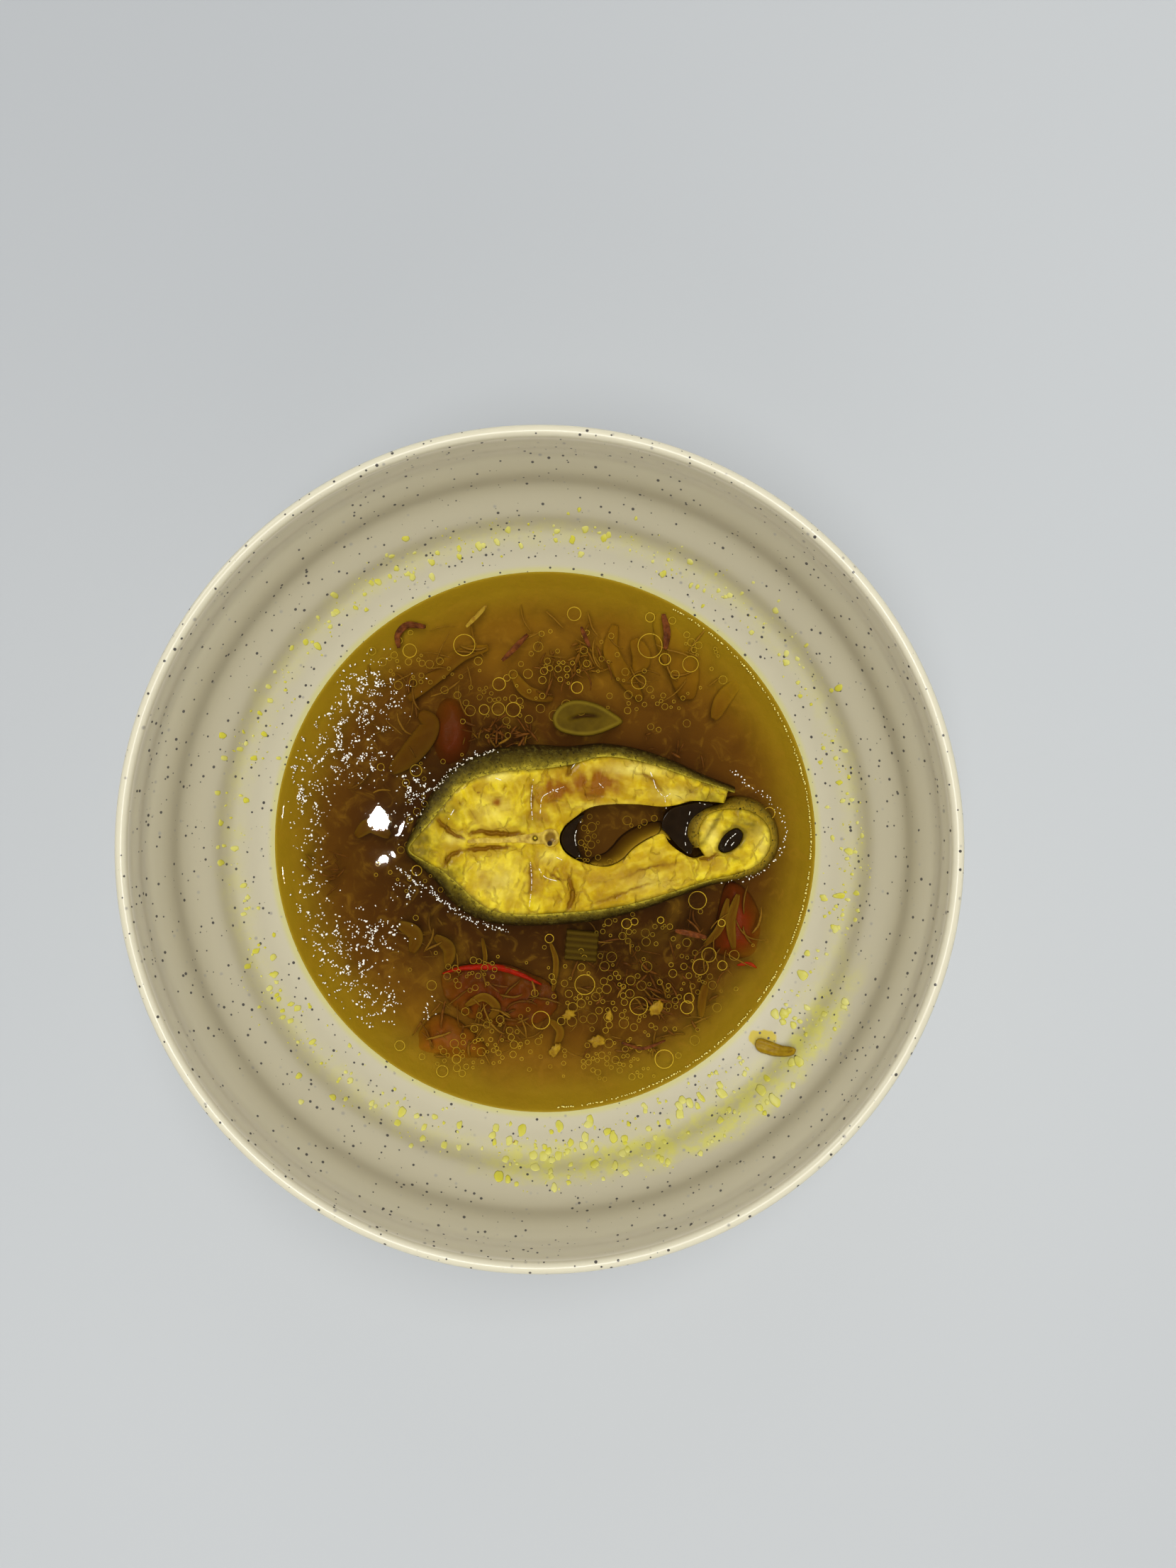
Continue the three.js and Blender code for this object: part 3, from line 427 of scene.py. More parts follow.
class Finish:
    """A material under construction. Each call adds a node and gives back its output."""

    def __init__(self, name):
        self.material = bpy.data.materials.new(name)
        self.material.use_nodes = True
        self.nodes = self.material.node_tree.nodes
        self.links = self.material.node_tree.links
        self.nodes.clear()
        self.out = self.nodes.new("ShaderNodeOutputMaterial")
        self.place = self.nodes.new("ShaderNodeTexCoord").outputs["Object"]

    def put(self, socket, value):
        """Links a value or sets it. Three numbers for a colour are sRGB out of 255."""
        if isinstance(value, bpy.types.NodeSocket):
            self.links.new(value, socket)
        else:
            srgb = socket.type == "RGBA" and len(value) == 3
            socket.default_value = colour(*value) if srgb else value

    def node(self, kind, **values):
        made = self.nodes.new(kind)
        for key, value in values.items():
            self.put(made.inputs[key.replace("_", " ")], value)
        return made

    def math(self, operation, a, b=0, c=0, clamp=False):
        made = self.nodes.new("ShaderNodeMath")
        made.operation = operation
        made.use_clamp = clamp
        for socket, value in zip(made.inputs, (a, b, c)):
            self.put(socket, value)
        return made.outputs[0]

    def times(self, a, b):
        return self.math("MULTIPLY", a, b)

    def step(self, value, low, high, to_low=0, to_high=1):
        """value eased from to_low at low to to_high at high."""
        made = self.nodes.new("ShaderNodeMapRange")
        made.interpolation_type = "SMOOTHSTEP"
        for socket, one in zip(made.inputs, (value, low, high, to_low, to_high)):
            self.put(socket, one)
        return made.outputs[0]

    def band(self, value, middle, near, far, share):
        """share where value is near middle, eased to nothing where it is far from it."""
        gap = self.math("ABSOLUTE", self.math("SUBTRACT", value, middle))
        return self.step(gap, near, far, share, 0)

    def parts(self):
        """The place's x, y and z in metres."""
        return self.node("ShaderNodeSeparateXYZ", Vector=self.place).outputs

    def stretched(self, x, y, turn=0):
        values = {"Scale": (x, y, 1), "Rotation": (0, 0, turn)}
        return self.node("ShaderNodeMapping", Vector=self.place, **values).outputs[0]

    def noise(self, size, detail=3, roughness=0.55, distortion=0, place=None):
        """Noise between 0 and 1 with features of size millimetres."""
        values = {"Detail": detail, "Roughness": roughness, "Distortion": distortion}
        where = place or self.place
        return self.node("ShaderNodeTexNoise", Vector=where, Scale=1000 / size, **values).outputs["Fac"]

    def sway(self, reach, size, *details):
        """Noise that runs from -reach to reach."""
        return self.math("MULTIPLY_ADD", self.noise(size, *details), 2 * reach, -reach)

    def spots(self, cell, radius, edge, chance=1):
        """Round spots: 1 inside, 0 outside. cell, radius and edge are millimetres."""
        made = self.node("ShaderNodeTexVoronoi", Vector=self.place, Scale=1000 / cell)
        pick = self.node("ShaderNodeSeparateColor", Color=made.outputs["Color"])
        size = self.math("MULTIPLY_ADD", pick.outputs[0], radius * 0.7 / cell, radius * 0.3 / cell)
        inner = self.math("SUBTRACT", size, edge / cell)
        spot = self.step(made.outputs["Distance"], inner, size, 1, 0)
        chosen = self.math("LESS_THAN", pick.outputs[1], chance)
        return self.times(spot, chosen)

    def creases(self, cell, width, stretch):
        """Thin lines between cells: 1 on a line, 0 beside it. cell and width are millimetres."""
        bent = self.nodes.new("ShaderNodeVectorMath")
        bent.operation = "MULTIPLY_ADD"
        wobble = self.node("ShaderNodeTexNoise", Vector=self.place, Scale=300).outputs["Color"]
        for socket, value in zip(bent.inputs, (wobble, (0.003, 0.003, 0), self.stretched(1, stretch))):
            self.put(socket, value)
        made = self.node("ShaderNodeTexVoronoi", Vector=bent.outputs[0], Scale=1000 / cell)
        made.feature = "DISTANCE_TO_EDGE"
        return self.step(made.outputs["Distance"], 0, width / cell, 1, 0)

    def mix(self, factor, a, b):
        made = self.nodes.new("ShaderNodeMix")
        made.data_type = "RGBA"
        made.clamp_factor = True
        for socket, value in ((0, factor), (6, a), (7, b)):
            self.put(made.inputs[socket], value)
        return made.outputs[2]

    def layered(self, base, *layers):
        """base with further colours laid over it, each a share and a tint."""
        for share, tint in layers:
            base = self.mix(share, base, tint)
        return base

    def ramp(self, value, *stops):
        made = self.node("ShaderNodeValToRGB", Fac=value)
        elements = made.color_ramp.elements
        while len(elements) < len(stops):
            elements.new(0.5)
        for element, (at, tint) in zip(elements, stops):
            element.position = at
            element.color = colour(*tint)
        return made.outputs[0]

    def mark(self, name):
        made = self.nodes.new("ShaderNodeAttribute")
        made.attribute_name = name
        return made.outputs["Fac"]

    def distance_from(self, x, y, run=None):
        """Millimetres in plan from a point or, with a run, from the line that it runs along."""
        parts = self.parts()
        dx = self.math("MULTIPLY_ADD", parts[0], 1000, -x)
        dy = self.math("MULTIPLY_ADD", parts[1], 1000, -y)
        if run:
            square = run[0] ** 2 + run[1] ** 2
            share = self.times(dy, run[1] / square)
            share = self.math("MULTIPLY_ADD", dx, run[0] / square, share, clamp=True)
            dx = self.math("MULTIPLY_ADD", share, -run[0], dx)
            dy = self.math("MULTIPLY_ADD", share, -run[1], dy)
        return self.math("SQRT", self.math("MULTIPLY_ADD", dx, dx, self.times(dy, dy)))

    def height(self):
        return self.times(self.parts()[2], 1000)

    def bump(self, height, depth, onto=None):
        """Relief whose height, from 0 to 1, is depth millimetres."""
        made = self.node("ShaderNodeBump", Height=height, Distance=depth * MM, Strength=1)
        if onto:
            self.put(made.inputs["Normal"], onto)
        return made.outputs[0]

    def done(self, **values):
        """Closes the material with a Principled surface."""
        surface = self.node("ShaderNodeBsdfPrincipled", **values)
        self.links.new(surface.outputs[0], self.out.inputs["Surface"])
        return self.material


# The line along the steak where the broth is darkest, the broth's depth colour with painted shade of the
# steak: its start and how far it runs.
DARKEST = (-18, 0)
DARKEST_RUN = (38, -8)
# The belly's middle, round which painted light brightens the broth in the steak's shade.
BELLY_MIDDLE = (20, 3)


def soup_colour(f):
    """The cloudy broth's colour from place to place: olive at the wall, brown round the steak, darkest along
    it where the steak's shade is painted in.
    """
    # reach runs out from the steak's line: painted shade of the steak darkens the broth nearest it.
    reach = f.math("ADD", f.distance_from(*DARKEST, DARKEST_RUN), f.sway(8, 26, 3, 0.5))
    dark = (0, (52, 28, 3)), (0.27, (58, 33, 4)), (0.42, (77, 45, 5))
    light = (0.57, (101, 65, 8)), (0.68, (128, 90, 12))
    rim = f.math("ADD", f.distance_from(0, 0), f.sway(2.5, 9, 2))
    return f.layered(
        f.ramp(f.math("DIVIDE", reach, 80), *dark, *light),
        # Painted light: the broth in the belly is made lighter against the steak's shade.
        (f.step(f.distance_from(*BELLY_MIDDLE), 8, 14, 0.9, 0), (82, 52, 6)),
        (f.step(f.noise(15, 3, 0.6, 0.8), 0.45, 0.7, 0, 0.35), (66, 34, 4)),
        (f.step(f.noise(19, 3, 0.6, 0.8), 0.52, 0.75, 0, 0.35), (134, 98, 18)),
        (f.step(rim, 58, 72.5), (150, 124, 18)),
    )


def steeped(f, tint, fade=1.9, clear=0):
    """tint as it looks through the broth: the deeper, the closer to the broth's colour, painted shade round
    the steak included.
    """
    depth = f.math("SUBTRACT", BROTH_LEVEL - clear, f.height())
    share = f.math("SUBTRACT", 1, f.math("POWER", 2.718, f.math("DIVIDE", depth, -fade)), clamp=True)
    return f.mix(share, tint, soup_colour(f))


# ---- Bowl ----


def inner_radius(depth):
    """The inside of the wall at a depth under the lip: a full leaning curve with three soft ribs."""
    depth = np.asarray(depth, float)
    curve = MOUTH_RADIUS * np.sqrt(np.maximum(0, 1 - (depth / INNER_DEPTH) ** WALL_FULLNESS))
    near = smoothstep(depth, 1, FIRST_RIB)
    far = 1 - smoothstep(depth, RIBS_END - RIB_PITCH / 2, RIBS_END)
    turn = (depth - FIRST_RIB) / RIB_PITCH * tau
    return curve + RIB_SWELL * near * far * np.sin(turn)


def inner_depths(count, top=LIP_RADIUS):
    """Depths that run evenly along the wall from top to the middle of the floor."""
    start = asin((top / INNER_DEPTH) ** (WALL_FULLNESS / 2))
    angle = np.linspace(start, pi / 2, count)
    return INNER_DEPTH * np.sin(angle) ** (2 / WALL_FULLNESS)


WALL_TABLE = np.linspace(0.5, INNER_DEPTH, 1200)
RADIUS_TABLE = inner_radius(WALL_TABLE)


def wall_depth(radius):
    return float(np.interp(radius, RADIUS_TABLE[::-1], WALL_TABLE[::-1]))


def on_wall(radius, angle, off=0):
    """A point of the inner wall by its radius and angle in degrees, with two axes along the wall
    (round the bowl and down it) and one out of it."""
    depth = wall_depth(radius)
    slope = float(inner_radius(depth - 0.5) - inner_radius(depth + 0.5))
    a = radians(angle)
    out = np.array((cos(a), sin(a), 0))
    up = np.array((0, 0, 1))
    normal = (up * slope - out) / hypot(slope, 1)
    down = (-out * slope - up) / hypot(slope, 1)
    round_ = np.array((-sin(a), cos(a), 0))
    at = out * radius + up * (HEIGHT - depth) + normal * off
    return at, (round_, down, normal)


INSIDE_ROWS = 150
LIP_STEPS = 16
BOWL_SEGMENTS = 224


def bowl_profile():
    depths = inner_depths(INSIDE_ROWS)
    inside = np.column_stack([inner_radius(depths), HEIGHT - depths])
    inside[-1, 0] = 0
    step = 0.5
    over_foot = depths[inner_radius(depths) > FOOT_RADIUS + FOOT_FILLET]
    thickness = LIP_WIDTH + (FLOOR_THICKNESS - LIP_WIDTH) * over_foot / INNER_DEPTH
    slope = inner_radius(over_foot - step) - inner_radius(over_foot + step)
    length = np.hypot(2 * step, slope)
    out, up = inner_radius(over_foot), HEIGHT - over_foot
    outside = np.column_stack([out + thickness * 2 * step / length, up - thickness * slope / length])
    blend = smoothstep(over_foot, LIP_RADIUS, LIP_RADIUS + 5)[:, None]
    plain = np.column_stack([out + LIP_WIDTH, up])
    outside = plain * (1 - blend) + outside * blend
    lip = []
    for i in range(1, LIP_STEPS):
        a = pi * i / LIP_STEPS
        lip.append((RIM_RADIUS - LIP_RADIUS + LIP_RADIUS * cos(a), HEIGHT - LIP_RADIUS + LIP_RADIUS * sin(a)))
    inner = FOOT_RADIUS - FOOT_WIDTH
    foot = smooth_path(
        [
            (0, FOOT_RECESS + 0.6),
            (inner - 5, FOOT_RECESS + 0.3),
            (inner - 1.2, FOOT_RECESS - 0.6),
            (inner - 0.3, 0.25),
            (inner + 0.4, 0),
            (FOOT_RADIUS - 1.1, 0),
            (FOOT_RADIUS - 0.2, 0.5),
            (FOOT_RADIUS, 1.6),
            (FOOT_RADIUS + 0.2, FOOT_HEIGHT - 2.4),
            (FOOT_RADIUS + 1.4, FOOT_HEIGHT - 0.4),
        ],
        0.8,
    )
    foot[:, 1] = np.maximum(foot[:, 1], 0)
    return np.vstack([foot, outside[::-1], lip, inside])


# The yellow puddle round the herb sliver's low end: where it starts and how far it runs.
HERB_PUDDLE = (55.5, -51.5)
HERB_PUDDLE_RUN = (3.4, 0.5)


def glaze():
    f = Finish("speckled_glaze")
    radius = f.distance_from(0, 0)
    rise = f.math("SUBTRACT", HEIGHT, f.height())
    inside = f.mark("inside")
    # Painted shade: the wall darkens deeper down in the bowl.
    sunk = f.math("MINIMUM", f.step(radius, 73, 81, 0.34, 0.48), f.step(radius, 88, 95, 0.52, 0.16))
    # The cream glaze with painted light in bands round the wall: painted shade where the wall is steep under
    # the lip, at a radius of 82.5 mm, deeper down and about 12.6 mm under the lip; lighter painted bands 1.4
    # and 6.6 mm under the lip.
    cream_with_painted_light = f.layered(
        f.mix(f.noise(60, 2), (224, 217, 190), (216, 209, 182)),
        (f.band(radius, 91, 1.5, 9, 0.3), (166, 156, 124)),
        (f.band(radius, 82.5, 0.4, 2.6, 0.38), (160, 148, 110)),
        (f.times(sunk, f.step(radius, 94, 97, 1, 0)), (160, 150, 120)),
        (f.times(f.band(rise, 1.4, 0.24, 1.6, 0.9), inside), (242, 236, 214)),
        (f.times(f.band(rise, 6.6, 0.45, 3, 0.9), inside), (242, 236, 214)),
        (f.band(rise, 12.6, 0.6, 4, 0.34), (160, 150, 120)),
    )
    x, y, _ = f.parts()
    angle = f.math("ARCTAN2", y, x)
    reach = f.math("ADD", radius, f.sway(2.5, 6, 3))
    centre = f.step(angle, radians(-88), radians(-52), 82.2, 84.4)
    smear = f.times(f.band(reach, centre, 1.6, 5, 0.85), f.band(angle, radians(-62), 0.5, 0.8, 1))
    tint = f.math("MAXIMUM", f.band(reach, 80.8, 0.4, 4.2, 0.26), smear)
    tint = f.times(tint, f.step(f.noise(4, 4, 0.65), 0.4, 0.62, 0.35, 1))
    tint = f.math("MAXIMUM", tint, f.step(radius, 72.2, 73.7, 0.5, 0))
    puddle = f.math("ADD", f.distance_from(*HERB_PUDDLE, HERB_PUDDLE_RUN), f.sway(0.5, 2, 2))
    base = f.layered(
        cream_with_painted_light,
        (f.times(tint, inside), (208, 202, 92)),
        (f.times(f.step(puddle, 1.5, 2, 0.95, 0), inside), (202, 178, 20)),
        (f.spots(3, 0.7, 0.5, 0.8), (166, 160, 146)),
        (f.spots(1.9, 0.46, 0.12, 0.9), (80, 76, 72)),
    )
    shine = f.math("MULTIPLY_ADD", f.noise(20), 0.1, f.step(radius, 96, 97.5, 0.3, 0.18))
    return f.done(Base_Color=base, Roughness=shine, Normal=f.bump(f.noise(3, 4), 0.03))


def make_bowl():
    profile = bowl_profile()
    inside = np.arange(1, len(profile) - 1) >= len(profile) - INSIDE_ROWS
    marks = {"inside": np.repeat(inside, BOWL_SEGMENTS)}
    piece("bowl_body", turned(profile, BOWL_SEGMENTS), glaze(), ["bowl"], marks)


# ---- Fish steak: outlines ----

# The flesh under the skin, from the upper arm's cut end round the back to the belly flap's curl.
# Each point is x, y and the width of the skin there, measured at the level of the broth.
BACK = [
    (50.2, 13.2, 1), (41.4, 16.1, 1.5), (33.9, 18.8, 2.2), (24.6, 21.6, 2.6), (15.2, 22.7, 3),
    (6.6, 20.6, 4.4), (-1.5, 19.4, 6), (-9.5, 18.9, 6), (-16.5, 17.5, 5.4), (-22, 15, 4.8),
    (-26.2, 10.6, 4.4), (-30.4, 5.3, 3.4), (-34.4, 0.8, 1.6),
    (-36, -2, 1),
    (-32.3, -4.8, 1.8), (-27.2, -7.6, 3.2), (-22.6, -11.4, 4.4), (-18.4, -15.4, 4.2),
    (-13.5, -18.2, 3.2), (-5.5, -19.2, 2.8), (5.9, -18.7, 2.8), (15.2, -17.9, 2.4),
    (24.6, -16, 2), (33.9, -13.2, 1.5), (43.3, -10.2, 1.2), (51.7, -8.2, 1.5),
    (56.8, -5.6, 2), (59.6, -1.8, 2), (59.8, 2.6, 2), (57.9, 6, 2.4), (54.4, 8.3, 2.8),
    (50.4, 8.9, 2.5), (46.1, 8.6, 0.7), (43, 7.3, 1.4), (41.2, 4.8, 2.4), (40.5, 1.6, 2.5),
    (40.8, -1.4, 1.4),
]

# The rest of the flesh's edge, from the curl along the lower arm, round the belly and out the upper arm.
BELLY = [
    (42.4, -3.6), (39.4, -4.3), (35.8, -2.6), (32.8, -0.1), (31.4, 2.2), (27.2, 0.6),
    (23.3, -2), (20.5, -4.8), (16.7, -6.5), (11.9, -6), (8.1, -4.7), (5, -2.4), (3.8, 0.8),
    (4.9, 3.8), (8, 6.6), (11.9, 9.1), (17.1, 10), (24.6, 10), (31.4, 9.4), (35, 9.9),
    (39, 10.9), (43.6, 10.7), (48.6, 10.2),
]
PIT = [(51, 3.7), (52.6, 2.2), (52, -0.2), (49.9, -2.2), (47.4, -2.9), (45.9, -1.8), (46.8, 0.9), (48.8, 2.9)]

BACK_PATH = smooth_path(BACK, 0.55)
BACK_SIDES = right_of(BACK_PATH, 3)
BELLY_PATH = smooth_path(BELLY, 0.55)
FLESH_LOOP = np.vstack([BACK_PATH[3:, :2], BELLY_PATH[:-2]])
PIT_LOOP = smooth_path(PIT, 0.45, closed=True)

# ---- Fish steak: flesh ----

FLESH_SWELLS = [
    (-14, 10, 9, 7, 0.8), (-12, -10.5, 9, 7, 0.9), (32, 14.5, 12, 3, 0.5), (20, -12.5, 16, 4, 0.5),
    (57, -1, 3, 6, 0.5), (43.5, 1, 2.5, 5, 0.4), (2.3, 13.7, 4.5, 3.5, -0.8),
    (14.5, 15, 4, 3.5, -0.6), (6, -6.5, 5, 2.5, -0.5), (-31, -1.5, 5, 4, -0.9),
]

# Seams between the muscle blocks and cracks in them: a line, a width and a depth.
SEAMS = [
    ([(-29.2, 6.6), (-25.9, 3.4), (-23.1, 1.6), (-20.9, 0.9)], 1, 1.6),
    ([(-26.6, -6.6), (-25.6, -4.2), (-23.5, -2.8), (-21.4, -1.9)], 1, 1.5),
    ([(-20.6, 1.9), (-17.7, 2.9), (-14.7, 2.4), (-10.6, 2.2), (-5.2, 2.4)], 1.2, 1.7),
    ([(-22.2, -1.8), (-19.4, -2), (-16.6, -1.7), (-12.8, -1.3), (-8, -1.3)], 1.1, 1.5),
    ([(-3.6, 17.2), (-3.4, 12.8), (-3.4, 9), (-4.3, 5.2)], 0.8, 0.8),
    ([(-4.2, -3.4), (-3.7, -7), (-3.7, -11.5), (-4.6, -16.4)], 0.8, 0.8),
    ([(6, -8.6), (7.2, -12.5), (7, -15.7), (5.4, -18.9)], 1.1, 1.5),
    ([(9.6, -17.6), (17.1, -14.9), (24.6, -11.9), (32.6, -9.4)], 0.9, 0.7),
    ([(19, -10.2), (25, -7.6), (31, -6), (37, -5.4)], 0.9, 0.7),
    ([(0.3, -7.4), (4, -9.9), (7.4, -9.4)], 0.8, 0.8),
    ([(22, 19), (28.4, 16.8), (31.9, 12)], 0.9, 0.8),
    ([(40.2, -4.4), (43.3, -4.3), (46.2, -3.1)], 0.8, 1.3),
    ([(6.6, 22), (6.6, 19.6), (5.8, 17.6)], 1.2, 1.6),
    ([(-19.3, 15), (-18.2, 13.8), (-16.6, 12.8)], 0.6, 0.8),
    ([(-14.4, 15.4), (-14.7, 14.4), (-14.8, 13.2)], 0.5, 0.7),
    ([(-10.6, 15.5), (-10.7, 14.2), (-11.4, 13)], 0.5, 0.7),
    ([(-23.6, 12.4), (-22.6, 10.6), (-20.8, 8.6)], 0.5, 0.5),
    ([(-20.2, 9.6), (-18.8, 7), (-17.6, 5)], 0.5, 0.5),
    ([(-15.6, 11.4), (-15.2, 8.8), (-14.6, 6.2)], 0.5, 0.4),
    ([(-8.2, 13), (-8, 9.4), (-8.6, 5.6)], 0.5, 0.4),
    ([(-21.6, -8.8), (-19.4, -6.2), (-16.8, -4.4)], 0.5, 0.5),
    ([(-17, -14), (-14.6, -11), (-13.4, -7)], 0.5, 0.4),
    ([(-10.6, -16), (-9.6, -11.6), (-9.8, -6.8)], 0.5, 0.4),
    ([(1.4, -12), (3.6, -13.6), (4.6, -16.4)], 0.5, 0.5),
    ([(9.4, 13), (12.4, 12.2), (16, 12.4)], 0.6, 0.7),
    ([(0, 10), (3, 11), (6, 10.4)], 0.6, 0.6),
    ([(36, 15.6), (38.6, 13.6), (41.4, 12.8)], 0.5, 0.5),
    ([(12.6, -10.6), (16, -10.4), (19.4, -9)], 0.5, 0.5),
    ([(28.6, -11.8), (33, -10.2), (37.6, -9.4)], 0.5, 0.5),
]
SEAM_PATHS = [(smooth_path(line, 0.5), width, depth) for line, width, depth in SEAMS]
FLESH_EDGE = 2.6
FLESH_EDGE_DROP = 0.65


def seam_depths(points, softness=0):
    """How deep the seams cut at each point. With a softness, the hollow beside them instead."""
    total = np.zeros(len(points))
    wobble = np.column_stack([rough(points, 1.7, 2, 11), rough(points, 1.7, 2, 17)])
    points = points[:, :2] + 0.4 * wobble
    for path, width, depth in SEAM_PATHS:
        near = np.abs(points - path.mean(axis=0)).max(axis=1) < 14
        if not near.any():
            continue
        far, along = measured(points[near], path, closed=False)
        fade = 0.25 + 0.75 * np.sin(pi * along)
        ragged = 0.75 + 0.5 * np.abs(rough(points[near], 1.1, 2, seed=depth))
        if softness:
            cut = depth * fade * np.exp(-((far / softness) ** 2))
        else:
            cut = depth * fade * ragged * np.clip(1 - far / (width * 0.62), 0, 1) ** 0.8
        total[near] = np.maximum(total[near], cut)
    return total


def fibre(points, size=1.6):
    """The grain of the muscle: it runs out from the spine in the back, and along the arms."""
    x, y = points[:, 0], points[:, 1]
    slant = np.where(y > 0, 0.3, -0.3)
    back = np.column_stack([x + slant * y, y * 0.2])
    lower = np.column_stack([y - 0.38 * x, (x + 0.38 * y) * 0.2])
    upper = np.column_stack([y + 0.28 * x, (x - 0.28 * y) * 0.2])
    share_lower = smoothstep(x, 4, 12) * (y < 3)
    share_upper = smoothstep(x, 10, 20) * (y >= 3)
    grain = rough(back, size, 3) * (1 - share_lower - share_upper)
    return grain + rough(lower, size, 3, 5) * share_lower + rough(upper, size, 3, 9) * share_upper


def flesh_top(points):
    rim = np.minimum(measured(points, FLESH_LOOP)[0], measured(points, PIT_LOOP)[0] * 1.4)
    edge = np.clip(1 - rim / FLESH_EDGE, 0, 1)
    step = 0.45 * smoothstep(points[:, 0], -4.2, -2.6)
    height = FISH_TOP + swells(points, FLESH_SWELLS) - step - FLESH_EDGE_DROP * edge * edge
    height -= seam_depths(points) + 0.35 * seam_depths(points, 1.5)
    height += 0.14 * fibre(points) + 0.42 * rough(points, 4.5, 3, 2) + 0.12 * rough(points, 1.4, 2, 4)
    spine = backbone_loop()
    under_spine = inside_of(points, spine) * smoothstep(measured(points, spine)[0], 0, 0.5)
    return height - 1.5 * under_spine


# Paler flesh, with painted highlights on the crowns of the lobes: x, y, two radii and a share.
PALE_FLESH_AND_HIGHLIGHTS = [
    (-12.3, 17.4, 3.4, 1.2, 1), (24, 19.2, 9, 1.6, 0.7), (-14, 8, 5, 4, 0.35),
    (-12, -10, 6, 5, 0.4), (57.5, -1, 2, 5, 0.4), (44, 1.5, 2, 4, 0.6),
    (27, -10.5, 7, 2.4, 0.3), (16, 9.6, 6, 0.8, 0.5), (-24, 1, 3, 1.5, 0.5),
    (1, -4, 2.2, 1.6, 0.5), (34, 12.6, 5, 1.6, 0.5),
]
ORANGE_PATCHES = [
    (2.3, 13.6, 4.4, 3.8, 1.25), (14.6, 15.2, 5.4, 3.8, 1.5), (-12.7, 10.6, 1.2, 1.1, 1.3),
    (8.5, 15, 6, 4.6, 0.5), (6, -6.5, 6, 3, 0.4), (0.5, -11.5, 5, 5, 0.35),
    (13, -12, 7, 4, 0.35), (-16.4, -9.5, 3, 3.2, 0.35), (2, 5, 5, 3, 0.5),
    (44, -7, 4, 2, 0.35), (-2, 8, 2.4, 5, 0.5), (-2, -8, 2.4, 5, 0.3),
    (22, -9, 5, 2, 0.45), (34, -6, 4, 1.6, 0.4),
]
OLIVE_PATCHES = [
    (-33, -0.6, 4.6, 4.6, 1.2), (-26, 8, 4.6, 2.8, 0.7), (-24.6, -8, 3.4, 2.6, 0.9),
    (53.5, 4.6, 5.5, 3.4, 0.85), (45, 11.2, 4.6, 2, 0.8), (50.6, -4.6, 3, 1, 0.4),
    (38, 13.6, 8, 1.6, 0.25), (-4, 5.4, 5, 2, 0.3),
]


def flesh_finish():
    f = Finish("turmeric_flesh")
    stops = (0.3, (188, 157, 10)), (0.5, (218, 190, 20)), (0.72, (238, 219, 46))
    reach = f.distance_from(-16, 0)
    grain = f.math("ADD", f.mark("grain"), 0.5)
    lines = f.times(f.creases(4.2, 0.42, 0.55), f.step(f.noise(5, 2), 0.44, 0.56))
    yellow = f.layered(
        f.ramp(f.noise(5, 4, 0.6, 0.6), *stops),
        (f.times(f.step(reach, 20, 32, 0, 0.42), f.step(reach, 50, 60, 1, 0)), (176, 132, 8)),
        (f.step(grain, 0.4, 0.85, 0, 0.25), (238, 216, 76)),
        (f.step(grain, 0, 0.45, 0.16, 0), (184, 140, 12)),
        (f.step(f.noise(4, 3, 0.6, 1), 0.58, 0.72, 0, 0.2), (186, 142, 16)),
        (f.times(lines, 0.55), (150, 110, 12)),
        # Painted shade in the low spots of the relief and beside the seams.
        (f.mark("hollow"), (164, 128, 14)),
        # Paler flesh and painted highlights on the lobe crowns.
        (f.mark("pale"), (242, 226, 112)),
        (f.mark("orange"), (136, 82, 6)),
        (f.step(f.mark("seam"), 0.08, 0.9, 0, 0.9), (118, 76, 8)),
        (f.mark("olive"), (110, 92, 18)),
        (f.step(f.height(), FISH_TOP - 2.8, FISH_TOP - 1.3, 1, 0), (140, 108, 20)),
    )
    wet = f.bump(f.noise(1.5, 3, 0.6, 0.5), 0.16)
    wet = f.bump(f.math("SUBTRACT", 1, lines), 0.25, wet)
    wet = f.bump(f.noise(0.6, 2), 0.05, wet)
    return f.done(
        Base_Color=steeped(f, yellow, 3),
        Roughness=f.math("MULTIPLY_ADD", f.noise(2.2, 3), 0.3, 0.2),
        Specular_IOR_Level=0.35,
        Coat_Weight=0.25,
        Coat_Roughness=0.1,
        Normal=wet,
    )


